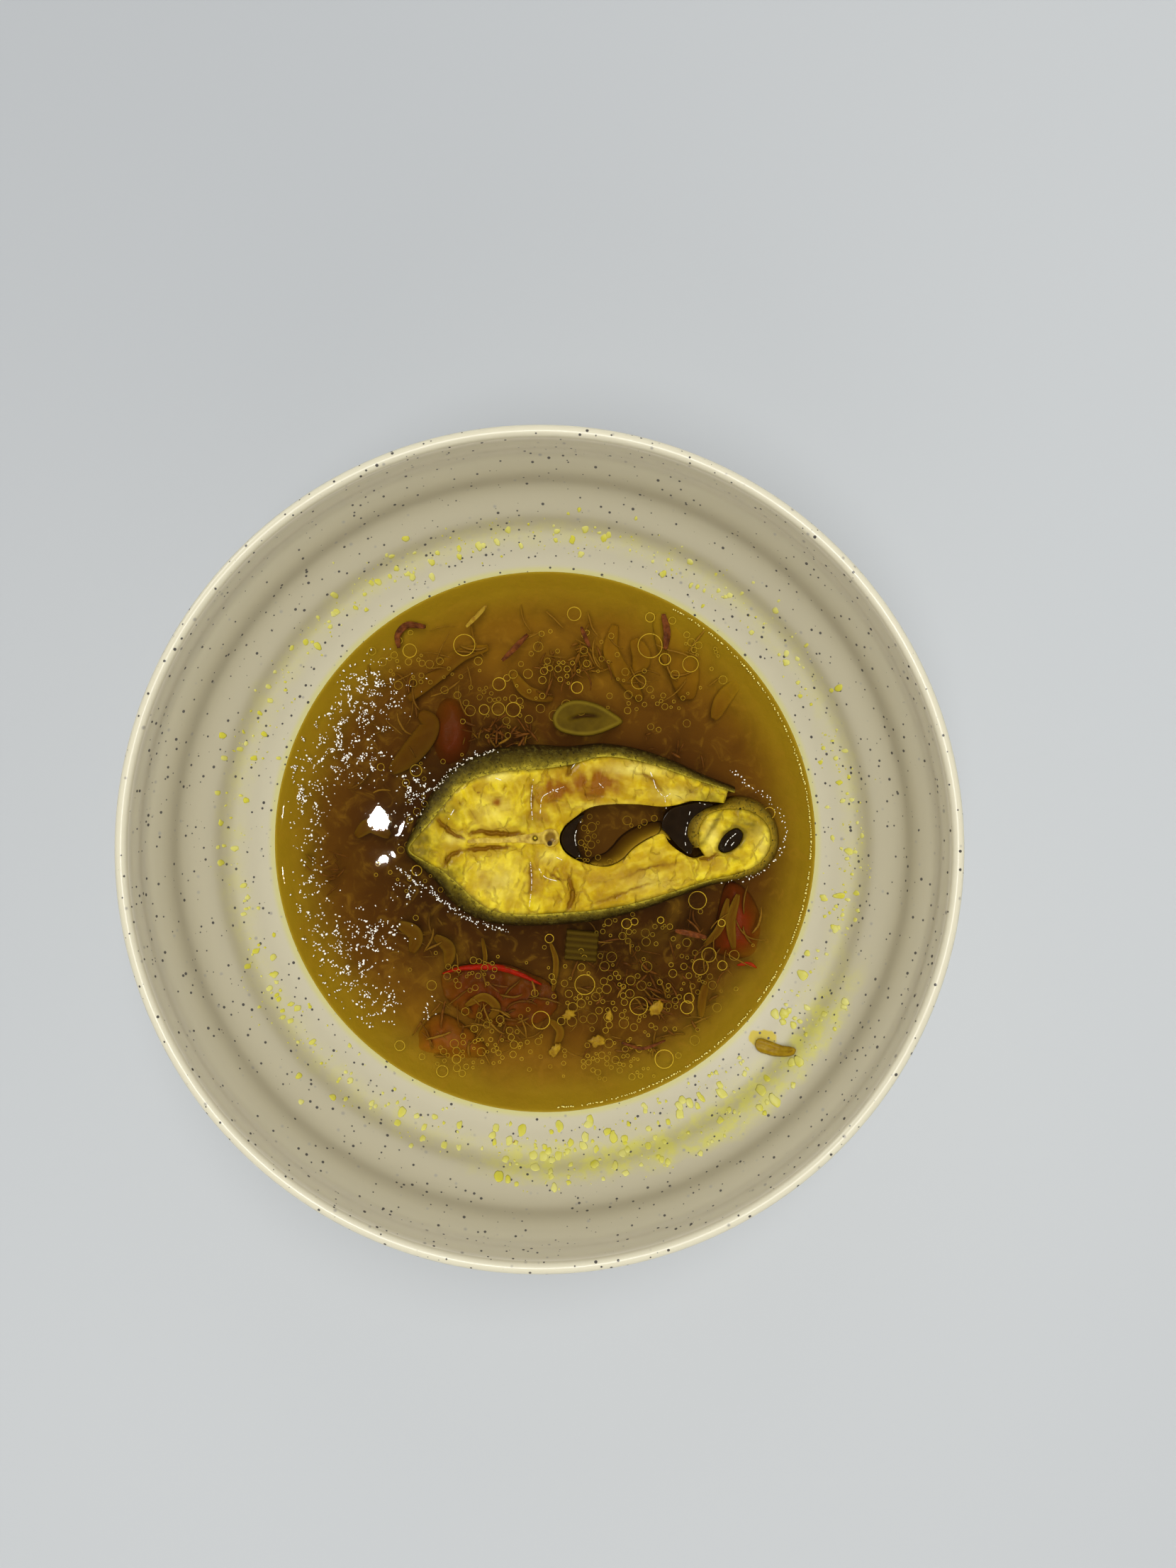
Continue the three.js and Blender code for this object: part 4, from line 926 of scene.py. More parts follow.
def make_flesh():
    loops = [FLESH_LOOP, PIT_LOOP]
    shape = plate(loops, 0.42, flesh_top, FISH_BOTTOM, rings=6)
    points = shape[0]
    far = np.minimum(measured(points, BACK_PATH[:, :2])[0], measured(points, PIT_LOOP)[0])
    rim = np.clip(1.1 - far / 0.9 + 0.6 * rough(points, 2), 0, 1)
    # Low spots of the relief, where painted shade darkens the flesh.
    hills = np.clip(0.3 - 2.4 * rough(points, 4.5, 3, 2), 0, 1)
    olive = swells(points, OLIVE_PATCHES) * (0.8 + 0.6 * rough(points, 1.8))
    marks = {
        "pale": np.clip(swells(points, PALE_FLESH_AND_HIGHLIGHTS) * (0.8 + 0.5 * rough(points, 2.2)), 0, 1),
        "orange": np.clip(swells(points, ORANGE_PATCHES) * (0.8 + 0.5 * rough(points, 2.6, 3, 3)), 0, 1),
        "seam": np.clip(seam_depths(points[:, :2]) + 0.25 * seam_depths(points[:, :2], 1.2), 0, 1.5),
        "grain": fibre(points, 1.6),
        # hollow is painted shade: the low spots and the sides of the seams.
        "hollow": np.clip(0.55 * hills + 0.6 * seam_depths(points[:, :2], 2.2), 0, 0.85),
        "olive": np.clip(0.75 * rim + olive, 0, 0.9),
    }
    piece("steak_flesh", shape, flesh_finish(), ["fish_flesh"], marks)


# ---- Fish steak: skin, backbone and linings ----

SKIN_DEPTHS = [0, 0.1, 0.22, 0.36, 0.5, 0.64, 0.78, 0.9, 1]


def skin_shape():
    """The skin slopes out from the cut face to the broth and on down to the steak's foot."""
    sections = []
    top = FISH_TOP - 0.5
    wrinkle = rough(BACK_PATH, 3.2)
    for i, (x, y, width) in enumerate(BACK_PATH):
        side = BACK_SIDES[i]
        full = GAP + width
        across = [(-0.1, FISH_BOTTOM), (-0.1, top - 0.1)]
        for t in SKIN_DEPTHS:
            out = full * t
            drop = (top - BROTH_LEVEL + 0.4) * (0.12 * t + 0.88 * t ** 1.6)
            bumps = 0.3 * noise.noise(Vector((x + side[0] * out, y + side[1] * out, 4)) * 0.8)
            bumps += 0.2 * noise.noise(Vector((x + side[0] * out, y + side[1] * out, 7)) * 2.2)
            across.append((out, top - drop + bumps * sin(pi * t) + 0.12 * wrinkle[i] * t))
        across += [(full + 0.25, BROTH_LEVEL - 2.2), (full + 0.5, BROTH_LEVEL - 7), (full + 0.7, FISH_BOTTOM)]
        sections.append([(x + side[0] * out, y + side[1] * out, z) for out, z in across])
    return lofted(sections)


def skin_finish():
    f = Finish("wet_fish_skin")
    ragged = f.math("ADD", f.mark("out"), f.sway(0.5, 2.6, 5, 0.65))
    light = (0, (170, 152, 44)), (0.16, (124, 108, 28)), (0.42, (84, 70, 14))
    dark = (0.75, (54, 42, 8)), (1, (40, 26, 5))
    tone = f.layered(
        f.ramp(ragged, *light, *dark),
        (f.mark("curl"), f.ramp(ragged, (0.2, (142, 116, 24)), (0.8, (96, 74, 14)))),
        (f.step(f.noise(1.1, 4, 0.7), 0.5, 0.64, 0, 0.6), (92, 82, 30)),
        (f.step(f.noise(0.9, 4, 0.7, 0.5), 0.54, 0.62, 0, 0.7), (38, 30, 8)),
        (f.spots(1.1, 0.42, 0.25, 0.5), (34, 26, 8)),
    )
    bumps = f.bump(f.noise(0.8, 4), 0.12)
    return f.done(Base_Color=steeped(f, tone, 4, 0.3), Roughness=0.4, Specular_IOR_Level=0.12, Normal=bumps)


def make_skin():
    shape = skin_shape()
    row = 2 + len(SKIN_DEPTHS) + 3
    out = np.tile(np.array([0, 0, *SKIN_DEPTHS, 1, 1, 1]), len(BACK_PATH))
    curl = np.repeat(smoothstep(np.linspace(0, 1, len(BACK_PATH)), 0.76, 0.84), row)
    piece("steak_skin", shape, skin_finish(), ["fish_skin"], {"out": out, "curl": curl})


BELLY_SLOPE = [(-0.9, -6), (-0.9, -0.25), (0.3, -0.6), (1.4, -1.5), (2.6, -2.8), (3.6, -4.4), (4.2, -6)]
BELLY_EDGE = [(33.4, 0.4), (31.4, 2.6), (27.2, 1), (23.3, -1.6), (20.5, -4.4), (16.7, -6.1), (11.9, -5.6)]


def make_belly_wall():
    """The inner side of the flesh, which slopes under the broth in the belly."""
    along = smooth_path(BELLY_EDGE, 0.6)
    side = right_of(along, 3)
    sections = []
    for i, ((x, y), (sx, sy)) in enumerate(zip(along, side)):
        full = sin(pi * i / (len(along) - 1)) ** 0.5
        ring = []
        for out, z in BELLY_SLOPE:
            wave = 0.25 * soft_noise(x * 0.4, y * 0.4, z)
            ring.append((x + sx * out * full, y + sy * out * full, BROTH_LEVEL + z + wave))
        sections.append(ring)
    f = Finish("flesh_in_broth")
    tone = f.mix(f.noise(3, 3), (190, 156, 30), (156, 124, 24))
    finish = f.done(Base_Color=steeped(f, tone, 1.1), Roughness=0.5)
    piece("belly_wall", lofted(sections), finish)


VERTEBRA = (1.4, 1.2)
VERTEBRA_RADIUS = 2.4
# The spine plate: x, y and half its width.
SPINE = [
    (-20.6, 0.2, 0.5), (-16.5, 0.5, 0.8), (-12.4, 0.4, 0.7), (-8, 0.7, 0.9), (-3, 1, 1.5), (0.4, 1.2, 1.5),
]
NEURAL_HOLE = (-2.6, 1, 0.85)


def backbone_loop():
    """The spine plate's two edges joined to the vertebra's round."""
    path = smooth_path(SPINE, 0.4)
    side = right_of(path[:, :2], 2)
    near = np.linalg.norm(path[:, :2] - VERTEBRA, axis=1) > VERTEBRA_RADIUS
    path, side = path[near], side[near]
    lower = path[:, :2] + side * path[:, 2:]
    upper = path[:, :2] - side * path[:, 2:]
    first = atan2(*(lower[-1] - VERTEBRA)[::-1])
    last = atan2(*(upper[-1] - VERTEBRA)[::-1])
    if last < first:
        last += tau
    arc = np.linspace(first, last, 34)[1:-1]
    disc = np.column_stack([np.cos(arc), np.sin(arc)]) * VERTEBRA_RADIUS + VERTEBRA
    return np.vstack([lower, disc, upper[::-1]])


def backbone_top(points):
    x, y = points[:, 0] - VERTEBRA[0], points[:, 1] - VERTEBRA[1]
    out = np.hypot(x, y)
    height = np.full(len(points), FISH_TOP - 0.35)
    height += 0.35 * (1 - smoothstep(out, VERTEBRA_RADIUS - 0.2, VERTEBRA_RADIUS + 0.6))
    height -= 0.9 * np.clip(1 - (out / 1.5) ** 2, 0, 1)
    hole = np.hypot(points[:, 0] - NEURAL_HOLE[0], points[:, 1] - NEURAL_HOLE[1])
    height -= 1.6 * np.clip(1 - (hole / NEURAL_HOLE[2]) ** 2, 0, 1)
    return height + 0.12 * rough(points, 0.9, 3)


def bone_finish():
    f = Finish("wet_bone")
    x, y = VERTEBRA
    tone = f.layered(
        f.ramp(f.noise(1.6, 4), (0.3, (150, 118, 34)), (0.7, (214, 184, 66))),
        (f.step(f.distance_from(x, y), 1, 1.9, 1, 0), (128, 96, 18)),
        (f.step(f.distance_from(x - 0.1, y - 1.5), 0.5, 0.9, 1, 0), (52, 32, 10)),
        (f.step(f.distance_from(*NEURAL_HOLE[:2]), 0.5, 0.95, 1, 0), (58, 40, 12)),
    )
    bumps = f.bump(f.noise(0.6), 0.08)
    return f.done(Base_Color=steeped(f, tone), Roughness=0.3, Coat_Weight=0.3, Normal=bumps)


def make_backbone():
    shape = plate([backbone_loop()], 0.3, backbone_top, FISH_BOTTOM, rings=2)
    piece("steak_backbone", shape, bone_finish(), ["fish_backbone"])


LINING_BACK = [(9.6, 7), (7.9, 6), (5.3, 3.6), (4.25, 0.8), (5.4, -2.1), (8.2, -4.2)]
LINING_FRONT = [(9.6, -4.2), (8.6, -1.4), (8, 1.9), (8.7, 4.7), (10.4, 7.2)]
LINING_FLAP = [
    (33.7, 8.8), (31.5, 6.2), (31.2, 3.6), (33.1, 1.5), (35.8, -1.5), (38.6, -3.2),
    (39.6, 0.6), (40.2, 5), (42, 8.4), (44.6, 9.9), (40.8, 10.4), (37.2, 9.8),
]


def lining_finish():
    f = Finish("black_membrane")
    tone = f.mix(f.noise(2.4, 3), (14, 8, 2), (40, 26, 10))
    return f.done(Base_Color=tone, Roughness=0.16, Normal=f.bump(f.noise(1.5, 2), 0.12))


def make_linings():
    finish = lining_finish()
    crescent = np.vstack([smooth_path(LINING_BACK, 0.5), smooth_path(LINING_FRONT, 0.5)])
    pit = PIT_LOOP.mean(axis=0) + (PIT_LOOP - PIT_LOOP.mean(axis=0)) * 0.94
    flap = smooth_path(LINING_FLAP, 0.5, closed=True)
    rows = [
        ("belly_membrane", crescent, FISH_TOP - 1.6, 1, "belly_lining"),
        ("hanging_membrane", flap, FISH_TOP - 1.4, 1.2, "belly_lining_flap"),
        ("curl_membrane", pit, FISH_TOP - 1.2, 1.4, "curl_lining"),
    ]
    for name, loop, rim, dish, node in rows:
        centre = loop.mean(axis=0)
        reach = np.linalg.norm(loop - centre, axis=1).max()

        def top(points):
            out = np.minimum(1, np.linalg.norm(points - centre, axis=1) / reach)
            return rim - dish * (1 - out * out) + 0.15 * rough(points, 2, 2)

        piece(name, plate([loop], 0.45, top, FISH_BOTTOM, rings=2), finish, [node])


# ---- Broth ----


def steak_loops():
    """The edge of the broth round the steak, just inside its skin, and inside the belly."""
    late = np.arange(len(BACK_PATH)) > len(BACK_PATH) / 2
    last = np.argmax(late & (BACK_PATH[:, 0] < 51.4) & (BACK_PATH[:, 1] > 8))
    path = BACK_PATH[:last]
    outer = path[:, :2] + BACK_SIDES[:last] * (path[:, 2:] * 0.7)
    return outer[::2]


BELLY_BROTH = [
    (30.6, 8.6), (24.6, 9.5), (17.1, 9.5), (12.6, 8.6), (10, 5.8), (8.8, 2.8), (8.9, -0.6), (9.8, -3.4),
    (11.4, -5.2), (16.5, -5.9), (20.2, -4.2), (23.2, -1.2), (27, 1.3), (29.9, 2.7), (30.6, 5.6),
]
POCKET_FLOOR = FISH_BOTTOM - 0.4
CLOUD_DEPTH = 6.5
MENISCUS = 0.25
BROTH_SEGMENTS = 420
CLOUD_SEGMENTS = 160


def broth_shape():
    """The broth's body: a lively surface with a meniscus at the wall and the steak, and a pocket
    under the steak that its skin closes."""
    around = circle(BROTH_SEGMENTS)
    rim = around * (BROTH_RADIUS + 0.3)
    steak = turning_left(steak_loops())
    belly = turning_left(smooth_path(BELLY_BROTH, 0.8, closed=True))
    grown = belly + right_of(belly, 1, closed=True) * 0.6
    loops = [rim, steak, grown]
    inner = []
    for spacing, reach, near, far in ((1.1, 0, 3.2, 99), (0.5, 0.1, 0.3, 3.2)):
        points = hex_grid((-74, -74), (74, 74), spacing)
        points = points[np.hypot(*points.T) < BROTH_RADIUS + reach]
        gap = np.minimum(measured(points, steak)[0], measured(points, grown)[0])
        gap = np.minimum(gap, np.abs(BROTH_RADIUS + 0.3 - np.hypot(*points.T)))
        inner.append(points[(gap > near) & (gap <= far)])
    inner = np.vstack(inner)
    flat, faces = triangulate(loops, inner)
    centres = flat[faces].mean(axis=1)
    pocket = inside_of(centres, steak) & ~inside_of(centres, grown)
    wall = BROTH_RADIUS - np.hypot(*flat.T)
    edge = np.minimum(measured(flat, BACK_PATH[:, :2] + BACK_SIDES * BACK_PATH[:, 2:], closed=False)[0], 30)
    rise = MENISCUS * np.exp(-np.maximum(wall, 0) / 0.7) + 0.4 * np.exp(-edge / 0.8)
    inside = inside_of(flat, grown)
    rise[inside] = 0.15 + 0.3 * np.exp(-measured(flat[inside], belly)[0] / 0.8)
    ripple = 0.012 * rough(flat, 12, 2)
    top = np.column_stack([flat, BROTH_LEVEL + rise + ripple])
    count = len(flat)
    sunk = np.column_stack([flat, np.full(count, POCKET_FLOOR)])
    solid = faces[~pocket].tolist() + (faces[pocket] + count).tolist()
    for start, loop, way in ((len(rim), steak, 1), (len(rim) + len(steak), grown, -1)):
        for i, j in pairs(len(loop)):
            a, b = start + i, start + j
            solid.append((a, b, b + count, a + count)[::way])
    under = []
    above, below = 0, 2 * count
    for depth in inner_depths(40, HEIGHT - BROTH_LEVEL)[1:-1]:
        ring = around * (float(inner_radius(depth)) + 0.4)
        under.append(np.column_stack([ring, np.full(len(ring), HEIGHT - depth - 0.4)]))
        solid += wall_between(above, below, [rim])
        above, below = below, below + len(rim)
    points = np.vstack([top, sunk, *under, [(0, 0, HEIGHT - INNER_DEPTH - 0.4)]])
    solid += [(len(points) - 1, above + j, above + i) for i, j in pairs(len(rim))]
    return points, solid


def broth_finish():
    """Clear and glossy: what lies in the broth shows through it, warmed a little."""
    f = Finish("clear_broth")
    ripple = f.bump(f.noise(2.6, 2), 0.004)
    clear = f.node("ShaderNodeBsdfTransparent", Color=(0.98, 0.95, 0.88, 1))
    gloss = f.node("ShaderNodeBsdfGlossy", Color=(1, 1, 1, 1), Roughness=0.012, Normal=ripple)
    fresnel = f.node("ShaderNodeFresnel", IOR=1.34, Normal=ripple)
    both = f.node("ShaderNodeMixShader", Fac=fresnel.outputs[0])
    f.links.new(clear.outputs[0], both.inputs[1])
    f.links.new(gloss.outputs[0], both.inputs[2])
    f.links.new(both.outputs[0], f.out.inputs["Surface"])
    return f.material


def cloud_finish():
    f = Finish("cloudy_broth")
    wisps = f.step(f.noise(5, 5, 0.6, 1.4), 0.5, 0.75, 0, 0.3)
    tone = f.mix(wisps, soup_colour(f), (158, 118, 28))
    return f.done(Base_Color=tone, Roughness=0.7, Normal=f.bump(f.noise(3, 4), 0.3))


def cloud_profile():
    """The thick of the broth: it lines the wall from the surface down, then lies flat."""
    depths = inner_depths(30, HEIGHT - BROTH_LEVEL - MENISCUS)[::-1]
    under = [(float(inner_radius(depth)) + 0.25, HEIGHT - float(depth)) for depth in depths[1:]]
    points = [(0, HEIGHT - INNER_DEPTH)] + under
    for radius in np.linspace(under[-1][0] - 0.5, 1, 120):
        shore = HEIGHT - wall_depth(radius) + 0.25
        beach = BROTH_LEVEL - 0.06 - CLOUD_DEPTH * float(smoothstep(BROTH_RADIUS - radius, -4, 16))
        points.append((float(radius), max(min(shore, BROTH_LEVEL + MENISCUS), beach)))
    points.append((0, points[-1][1]))
    return points


def make_broth():
    piece("broth_surface", broth_shape(), broth_finish(), ["broth"])
    piece("broth_cloud", turned(cloud_profile(), CLOUD_SEGMENTS), cloud_finish())


# ---- Garnish at the surface ----

GARLIC = [
    (1.9, 32.9), (3.9, 36.3), (7.7, 37.8), (13.4, 36.9), (17.6, 34.7), (20.7, 32),
    (17.3, 29.9), (12.4, 28.3), (6.8, 28.5), (3, 30.1),
]
GARLIC_SLIT = [(6.6, 32.7), (10.4, 33.6), (14.4, 33.4)]
GARLIC_TOP = BROTH_LEVEL + 0.4
GARLIC_THICKNESS = 2.2


def garlic_finish():
    f = Finish("soaked_garlic")
    tone = f.layered(
        f.ramp(f.noise(5, 3), (0.3, (72, 54, 6)), (0.7, (92, 72, 9))),
        (f.mark("rim"), (124, 104, 26)),
        (f.mark("slit"), (52, 34, 8)),
    )
    bumps = f.bump(f.noise(0.9), 0.05)
    return f.done(Base_Color=steeped(f, tone), Roughness=0.4, Specular_IOR_Level=0.1, Normal=bumps)


def make_garlic():
    loop = smooth_path(GARLIC, 0.5, closed=True)
    slit = smooth_path(GARLIC_SLIT, 0.4)

    def slit_share(points):
        far, along = measured(points, slit, closed=False)
        return np.clip(1 - far / 0.75, 0, 1) * np.sin(pi * np.clip(along, 0.03, 0.97)) ** 0.5

    def top(points):
        rim = np.clip(1 - measured(points, loop)[0] / 0.8, 0, 1)
        return GARLIC_TOP - 0.5 * rim ** 2 - 0.9 * slit_share(points) + 0.08 * rough(points, 1.6)

    shape = plate([loop], 0.4, top, GARLIC_TOP - GARLIC_THICKNESS)
    points = shape[0]
    near_rim = np.clip(1 - np.abs(measured(points, loop)[0] - 0.7) / 0.6, 0, 1)
    marks = {"slit": np.clip(slit_share(points) * 1.6, 0, 1), "rim": 0.7 * near_rim}
    piece("garlic", shape, garlic_finish(), ["garlic_slice"], marks)


LEEK = (9.7, -27.7)
LEEK_WIDTH = 8.6
LEEK_HEIGHT = 8.2
LEEK_THICKNESS = 1.8
LEEK_RIBS = 5
LEEK_TURN = -0.09
LEEK_TOP = BROTH_LEVEL + 0.35


def make_leek():
    ca, sa = cos(LEEK_TURN), sin(LEEK_TURN)
    corners = [(-0.5, -0.5), (0.5, -0.5), (0.5, 0.5), (-0.5, 0.5)]
    loop = []
    for (ax, ay), (bx, by) in zip(corners, corners[1:] + corners[:1]):
        for t in np.arange(0, 1, 0.05):
            u = (ax + (bx - ax) * t) * LEEK_WIDTH
            v = (ay + (by - ay) * t) * LEEK_HEIGHT
            loop.append((LEEK[0] + u * ca - v * sa, LEEK[1] + u * sa + v * ca))
    loop = np.array(loop)

    def rib(points):
        v = -(points[:, 0] - LEEK[0]) * sa + (points[:, 1] - LEEK[1]) * ca
        return np.cos((v / LEEK_HEIGHT + 0.5) * LEEK_RIBS * tau)

    def top(points):
        edge = np.clip(1 - measured(points, loop)[0] / 0.5, 0, 1)
        return LEEK_TOP - 0.25 - 0.25 * rib(points) - 0.3 * edge ** 2 + 0.05 * rough(points, 1.2)

    shape = plate([loop], 0.35, top, LEEK_TOP - LEEK_THICKNESS)
    f = Finish("soaked_leek")
    tone = f.mix(f.mark("rib"), (56, 39, 5), (74, 55, 7))
    tone = f.mix(f.noise(1.5, 3), tone, f.mix(0.5, tone, (78, 62, 12)))
    finish = f.done(Base_Color=steeped(f, tone), Roughness=0.45, Specular_IOR_Level=0.1)
    piece("leek", shape, finish, ["leek_piece"], {"rib": 0.5 - 0.5 * rib(shape[0])})


# The herb sliver on the wall: its middle as an angle and a depth, what each half of it turns and climbs,
# and how a millimetre across it runs round the bowl and down it.
HERB_ANGLE = -41.5
HERB_DEPTH = 29.6
HERB_TURN = 1.95
HERB_CLIMB = 3.6
HERB_WIDTH = 3.2
HERB_THICKNESS = 1.1
HERB_OFF = 0.35
HERB_ROUND = 0.88
HERB_DOWN = 0.34
# Its section: how far across, as a share of its half width, and how far off the wall.
HERB_SECTION = [
    (-1, 0.1), (-0.5, 0), (0, 0), (0.5, 0), (1, 0.1), (0.92, 0.7), (0.7, 0.95), (0.3, 1),
    (0.1, 0.85), (-0.1, 0.85), (-0.4, 1), (-0.7, 0.9), (-0.92, 0.6),
]


def herb_shape():
    sections = []
    for t in np.linspace(-1, 1, 41):
        wide = (1 - 0.2 * t) * sqrt(1 - 0.8 * t ** 8) + 0.08 * soft_noise(t * 3, 1, 1)
        half = HERB_WIDTH / 2 * wide
        ring = []
        for across, off in HERB_SECTION:
            depth = HERB_DEPTH - t * HERB_CLIMB + across * half * HERB_DOWN
            radius = float(inner_radius(depth))
            angle = HERB_ANGLE + t * HERB_TURN + degrees(across * half * HERB_ROUND / radius)
            bump = 0.12 * soft_noise(t * 5, across * 2, 7)
            at, _ = on_wall(radius, angle, HERB_OFF + off * (HERB_THICKNESS + bump))
            ring.append(at)
        sections.append(ring)
    return lofted(sections)


def make_herb():
    f = Finish("golden_herb")
    tone = f.ramp(f.noise(1.6, 3), (0.3, (138, 104, 6)), (0.7, (164, 132, 14)))
    fibres = f.noise(0.6, 3, 0.6, 0, f.stretched(0.25, 1, radians(-20)))
    tone = f.layered(
        tone,
        (f.step(fibres, 0.56, 0.72, 0, 0.5), (112, 66, 6)),
        (f.spots(2.4, 0.35, 0.15, 0.4), (70, 40, 6)),
    )
    finish = f.done(Base_Color=tone, Roughness=0.35, Specular_IOR_Level=0.3, Normal=f.bump(fibres, 0.08))
    piece("herb", herb_shape(), finish, ["herb_sliver"])


# Shreds of fried shallot, chilli and herb at the surface: where they run and how wide they are.
DARK_SHREDS = [
    ([(-38.9, 51.6), (-39.2, 55), (-36.8, 57.6), (-31.8, 57.2)], 1.8),
    ([(-11.4, 48.2), (-8.6, 51), (-4.6, 55.2)], 1.5),
    ([(31.4, 60.6), (32.4, 56), (32, 51.2)], 1.9),
    ([(9.6, 57.2), (10.6, 54.6), (11.8, 51.8)], 1.2),
    ([(34.6, -23.6), (38.6, -24.4), (42.9, -25.4)], 1.6),
    ([(20.4, -53.4), (26, -54.9), (32, -52.8)], 0.9),
]
PALE_SHREDS = [([(-15.6, 62.9), (-17.8, 60.4), (-21, 57.2)], 1.2)]
SHRED_THICKNESS = 0.96
SHRED_DEPTH = 0.03
FLAKES = [
    (6.4, -45.8, 3.4, 0.4), (17.1, -46.3, 2.6, 1.3), (13.8, -53, 4.2, 0.1),
    (29.6, -44.4, 4, 0.8), (2.6, -55.4, 3.6, 1.1),
]


def shred(line, width, seed):
    path = at_depth(line, SHRED_DEPTH, SHRED_DEPTH, 0.4)
    return sheet(path, width, SHRED_THICKNESS, cup=0.2, tips=0.45, ripple=0.35, seed=seed)


def at_depth(line, start, end, spacing=0.5):
    """A path in plan given heights that run from one depth under the surface to another."""
    path = smooth_path(line, spacing)
    return np.column_stack([path, BROTH_LEVEL - np.linspace(start, end, len(path))])


def vegetable_finish(name, light, dark, fade, grain=1.6):
    f = Finish(name)
    tone = steeped(f, f.ramp(f.noise(grain, 4, 0.6), (0.3, dark), (0.7, light)), fade)
    bumps = f.bump(f.noise(0.8, 3), 0.1)
    return f.done(Base_Color=tone, Roughness=0.35, Specular_IOR_Level=0.3, Normal=bumps)


def make_shreds():
    dark = [shred(line, width, i * 3.7) for i, (line, width) in enumerate(DARK_SHREDS)]
    finish = vegetable_finish("fried_shallot", (122, 64, 22), (56, 24, 6), 4)
    piece("dark_shreds", joined(dark), finish, ["broth"])
    pale = [shred(line, width, 50) for line, width in PALE_SHREDS]
    finish = vegetable_finish("soaked_shallot", (172, 142, 40), (138, 100, 22), 4)
    piece("pale_shred", joined(pale), finish, ["broth"])
    bits = []
    for i, (x, y, size, turn) in enumerate(FLAKES):

        def ragged(angle, i=i):
            return 1 + 0.7 * soft_noise(cos(angle) * 1.9, sin(angle) * 1.9, i * 5)

        radii = (size * 0.58, size * 0.36, 0.9)
        bits.append(dome((x, y, BROTH_LEVEL - 0.45), flat_axes(turn), radii, 22, 5, ragged))
    finish = vegetable_finish("yellow_bits", (168, 132, 26), (120, 84, 12), 4)
    piece("yellow_flakes", joined(bits), finish, ["broth"])


# ---- Sunk in the broth ----


def sunk_slab(outline, depth, thickness, crown, wave, size, seed):
    """A soft piece under the surface: depth below it at its crown, deeper towards its outline."""
    loop = smooth_path(outline, 0.7, closed=True)
    widest = max(measured(points_within([turning_left(loop)], 0.7), loop)[0])

    def top(points):
        out = 1 - np.clip(measured(points, loop)[0] / widest, 0, 1)
        return BROTH_LEVEL - depth - crown * out ** 2 + wave * rough(points, size, 3, seed)

    return plate([loop], 0.7, top, BROTH_LEVEL - depth - crown - thickness, rings=2)


# Tomato under the surface: the depth of the crown, a thickness, how far the edge falls away, the
# relief's height, size and seed, and the outline in pixels.
TOMATO_PIECES = [
    (2, 1.2, 3.4, 0.4, 5, 1, [
        (1032, 1246), (1060, 1262), (1078, 1302), (1071, 1352), (1040, 1356), (1010, 1344), (1014, 1300),
    ]),
    (3.6, 1, 1.6, 1, 4, 2, [
        (622, 1374), (664, 1364), (708, 1364), (742, 1376), (776, 1394), (786, 1424), (760, 1448),
        (700, 1452), (650, 1436), (622, 1404),
    ]),
    (2.4, 1, 2.8, 0.5, 4, 3, [(578, 1490), (592, 1454), (616, 1436), (652, 1452), (686, 1492), (640, 1502)]),
    (3.9, 1, 3.2, 0.6, 6, 4, [
        (606, 1006), (628, 980), (654, 992), (664, 1030), (652, 1068), (622, 1078), (604, 1050),
    ]),
]
TOMATO_SKIN = pixels((624, 1374), (645, 1368), (672, 1365), (704, 1366), (734, 1376), (764, 1390))
TOMATO_BIT = pixels((1040, 1362), (1058, 1360), (1068, 1366))


def make_tomato():
    slabs = [sunk_slab(pixels(*outline), *sizes) for *sizes, outline in TOMATO_PIECES]
    finish = vegetable_finish("tomato_flesh", (150, 24, 5), (112, 18, 4), 2.6, grain=5)
    piece("tomato", joined(slabs), finish)
    skins = [
        sheet(at_depth(TOMATO_SKIN, 0.5, 0.9), 1.7, 0.5, cup=-0.3, tips=0.2, ripple=0.2, seed=2),
        sheet(at_depth(TOMATO_BIT, 0.6, 0.8), 1, 0.4, tips=0.2, seed=4),
    ]
    finish = vegetable_finish("tomato_skin", (180, 26, 6), (140, 20, 4), 3)
    piece("tomato_skin", joined(skins), finish)


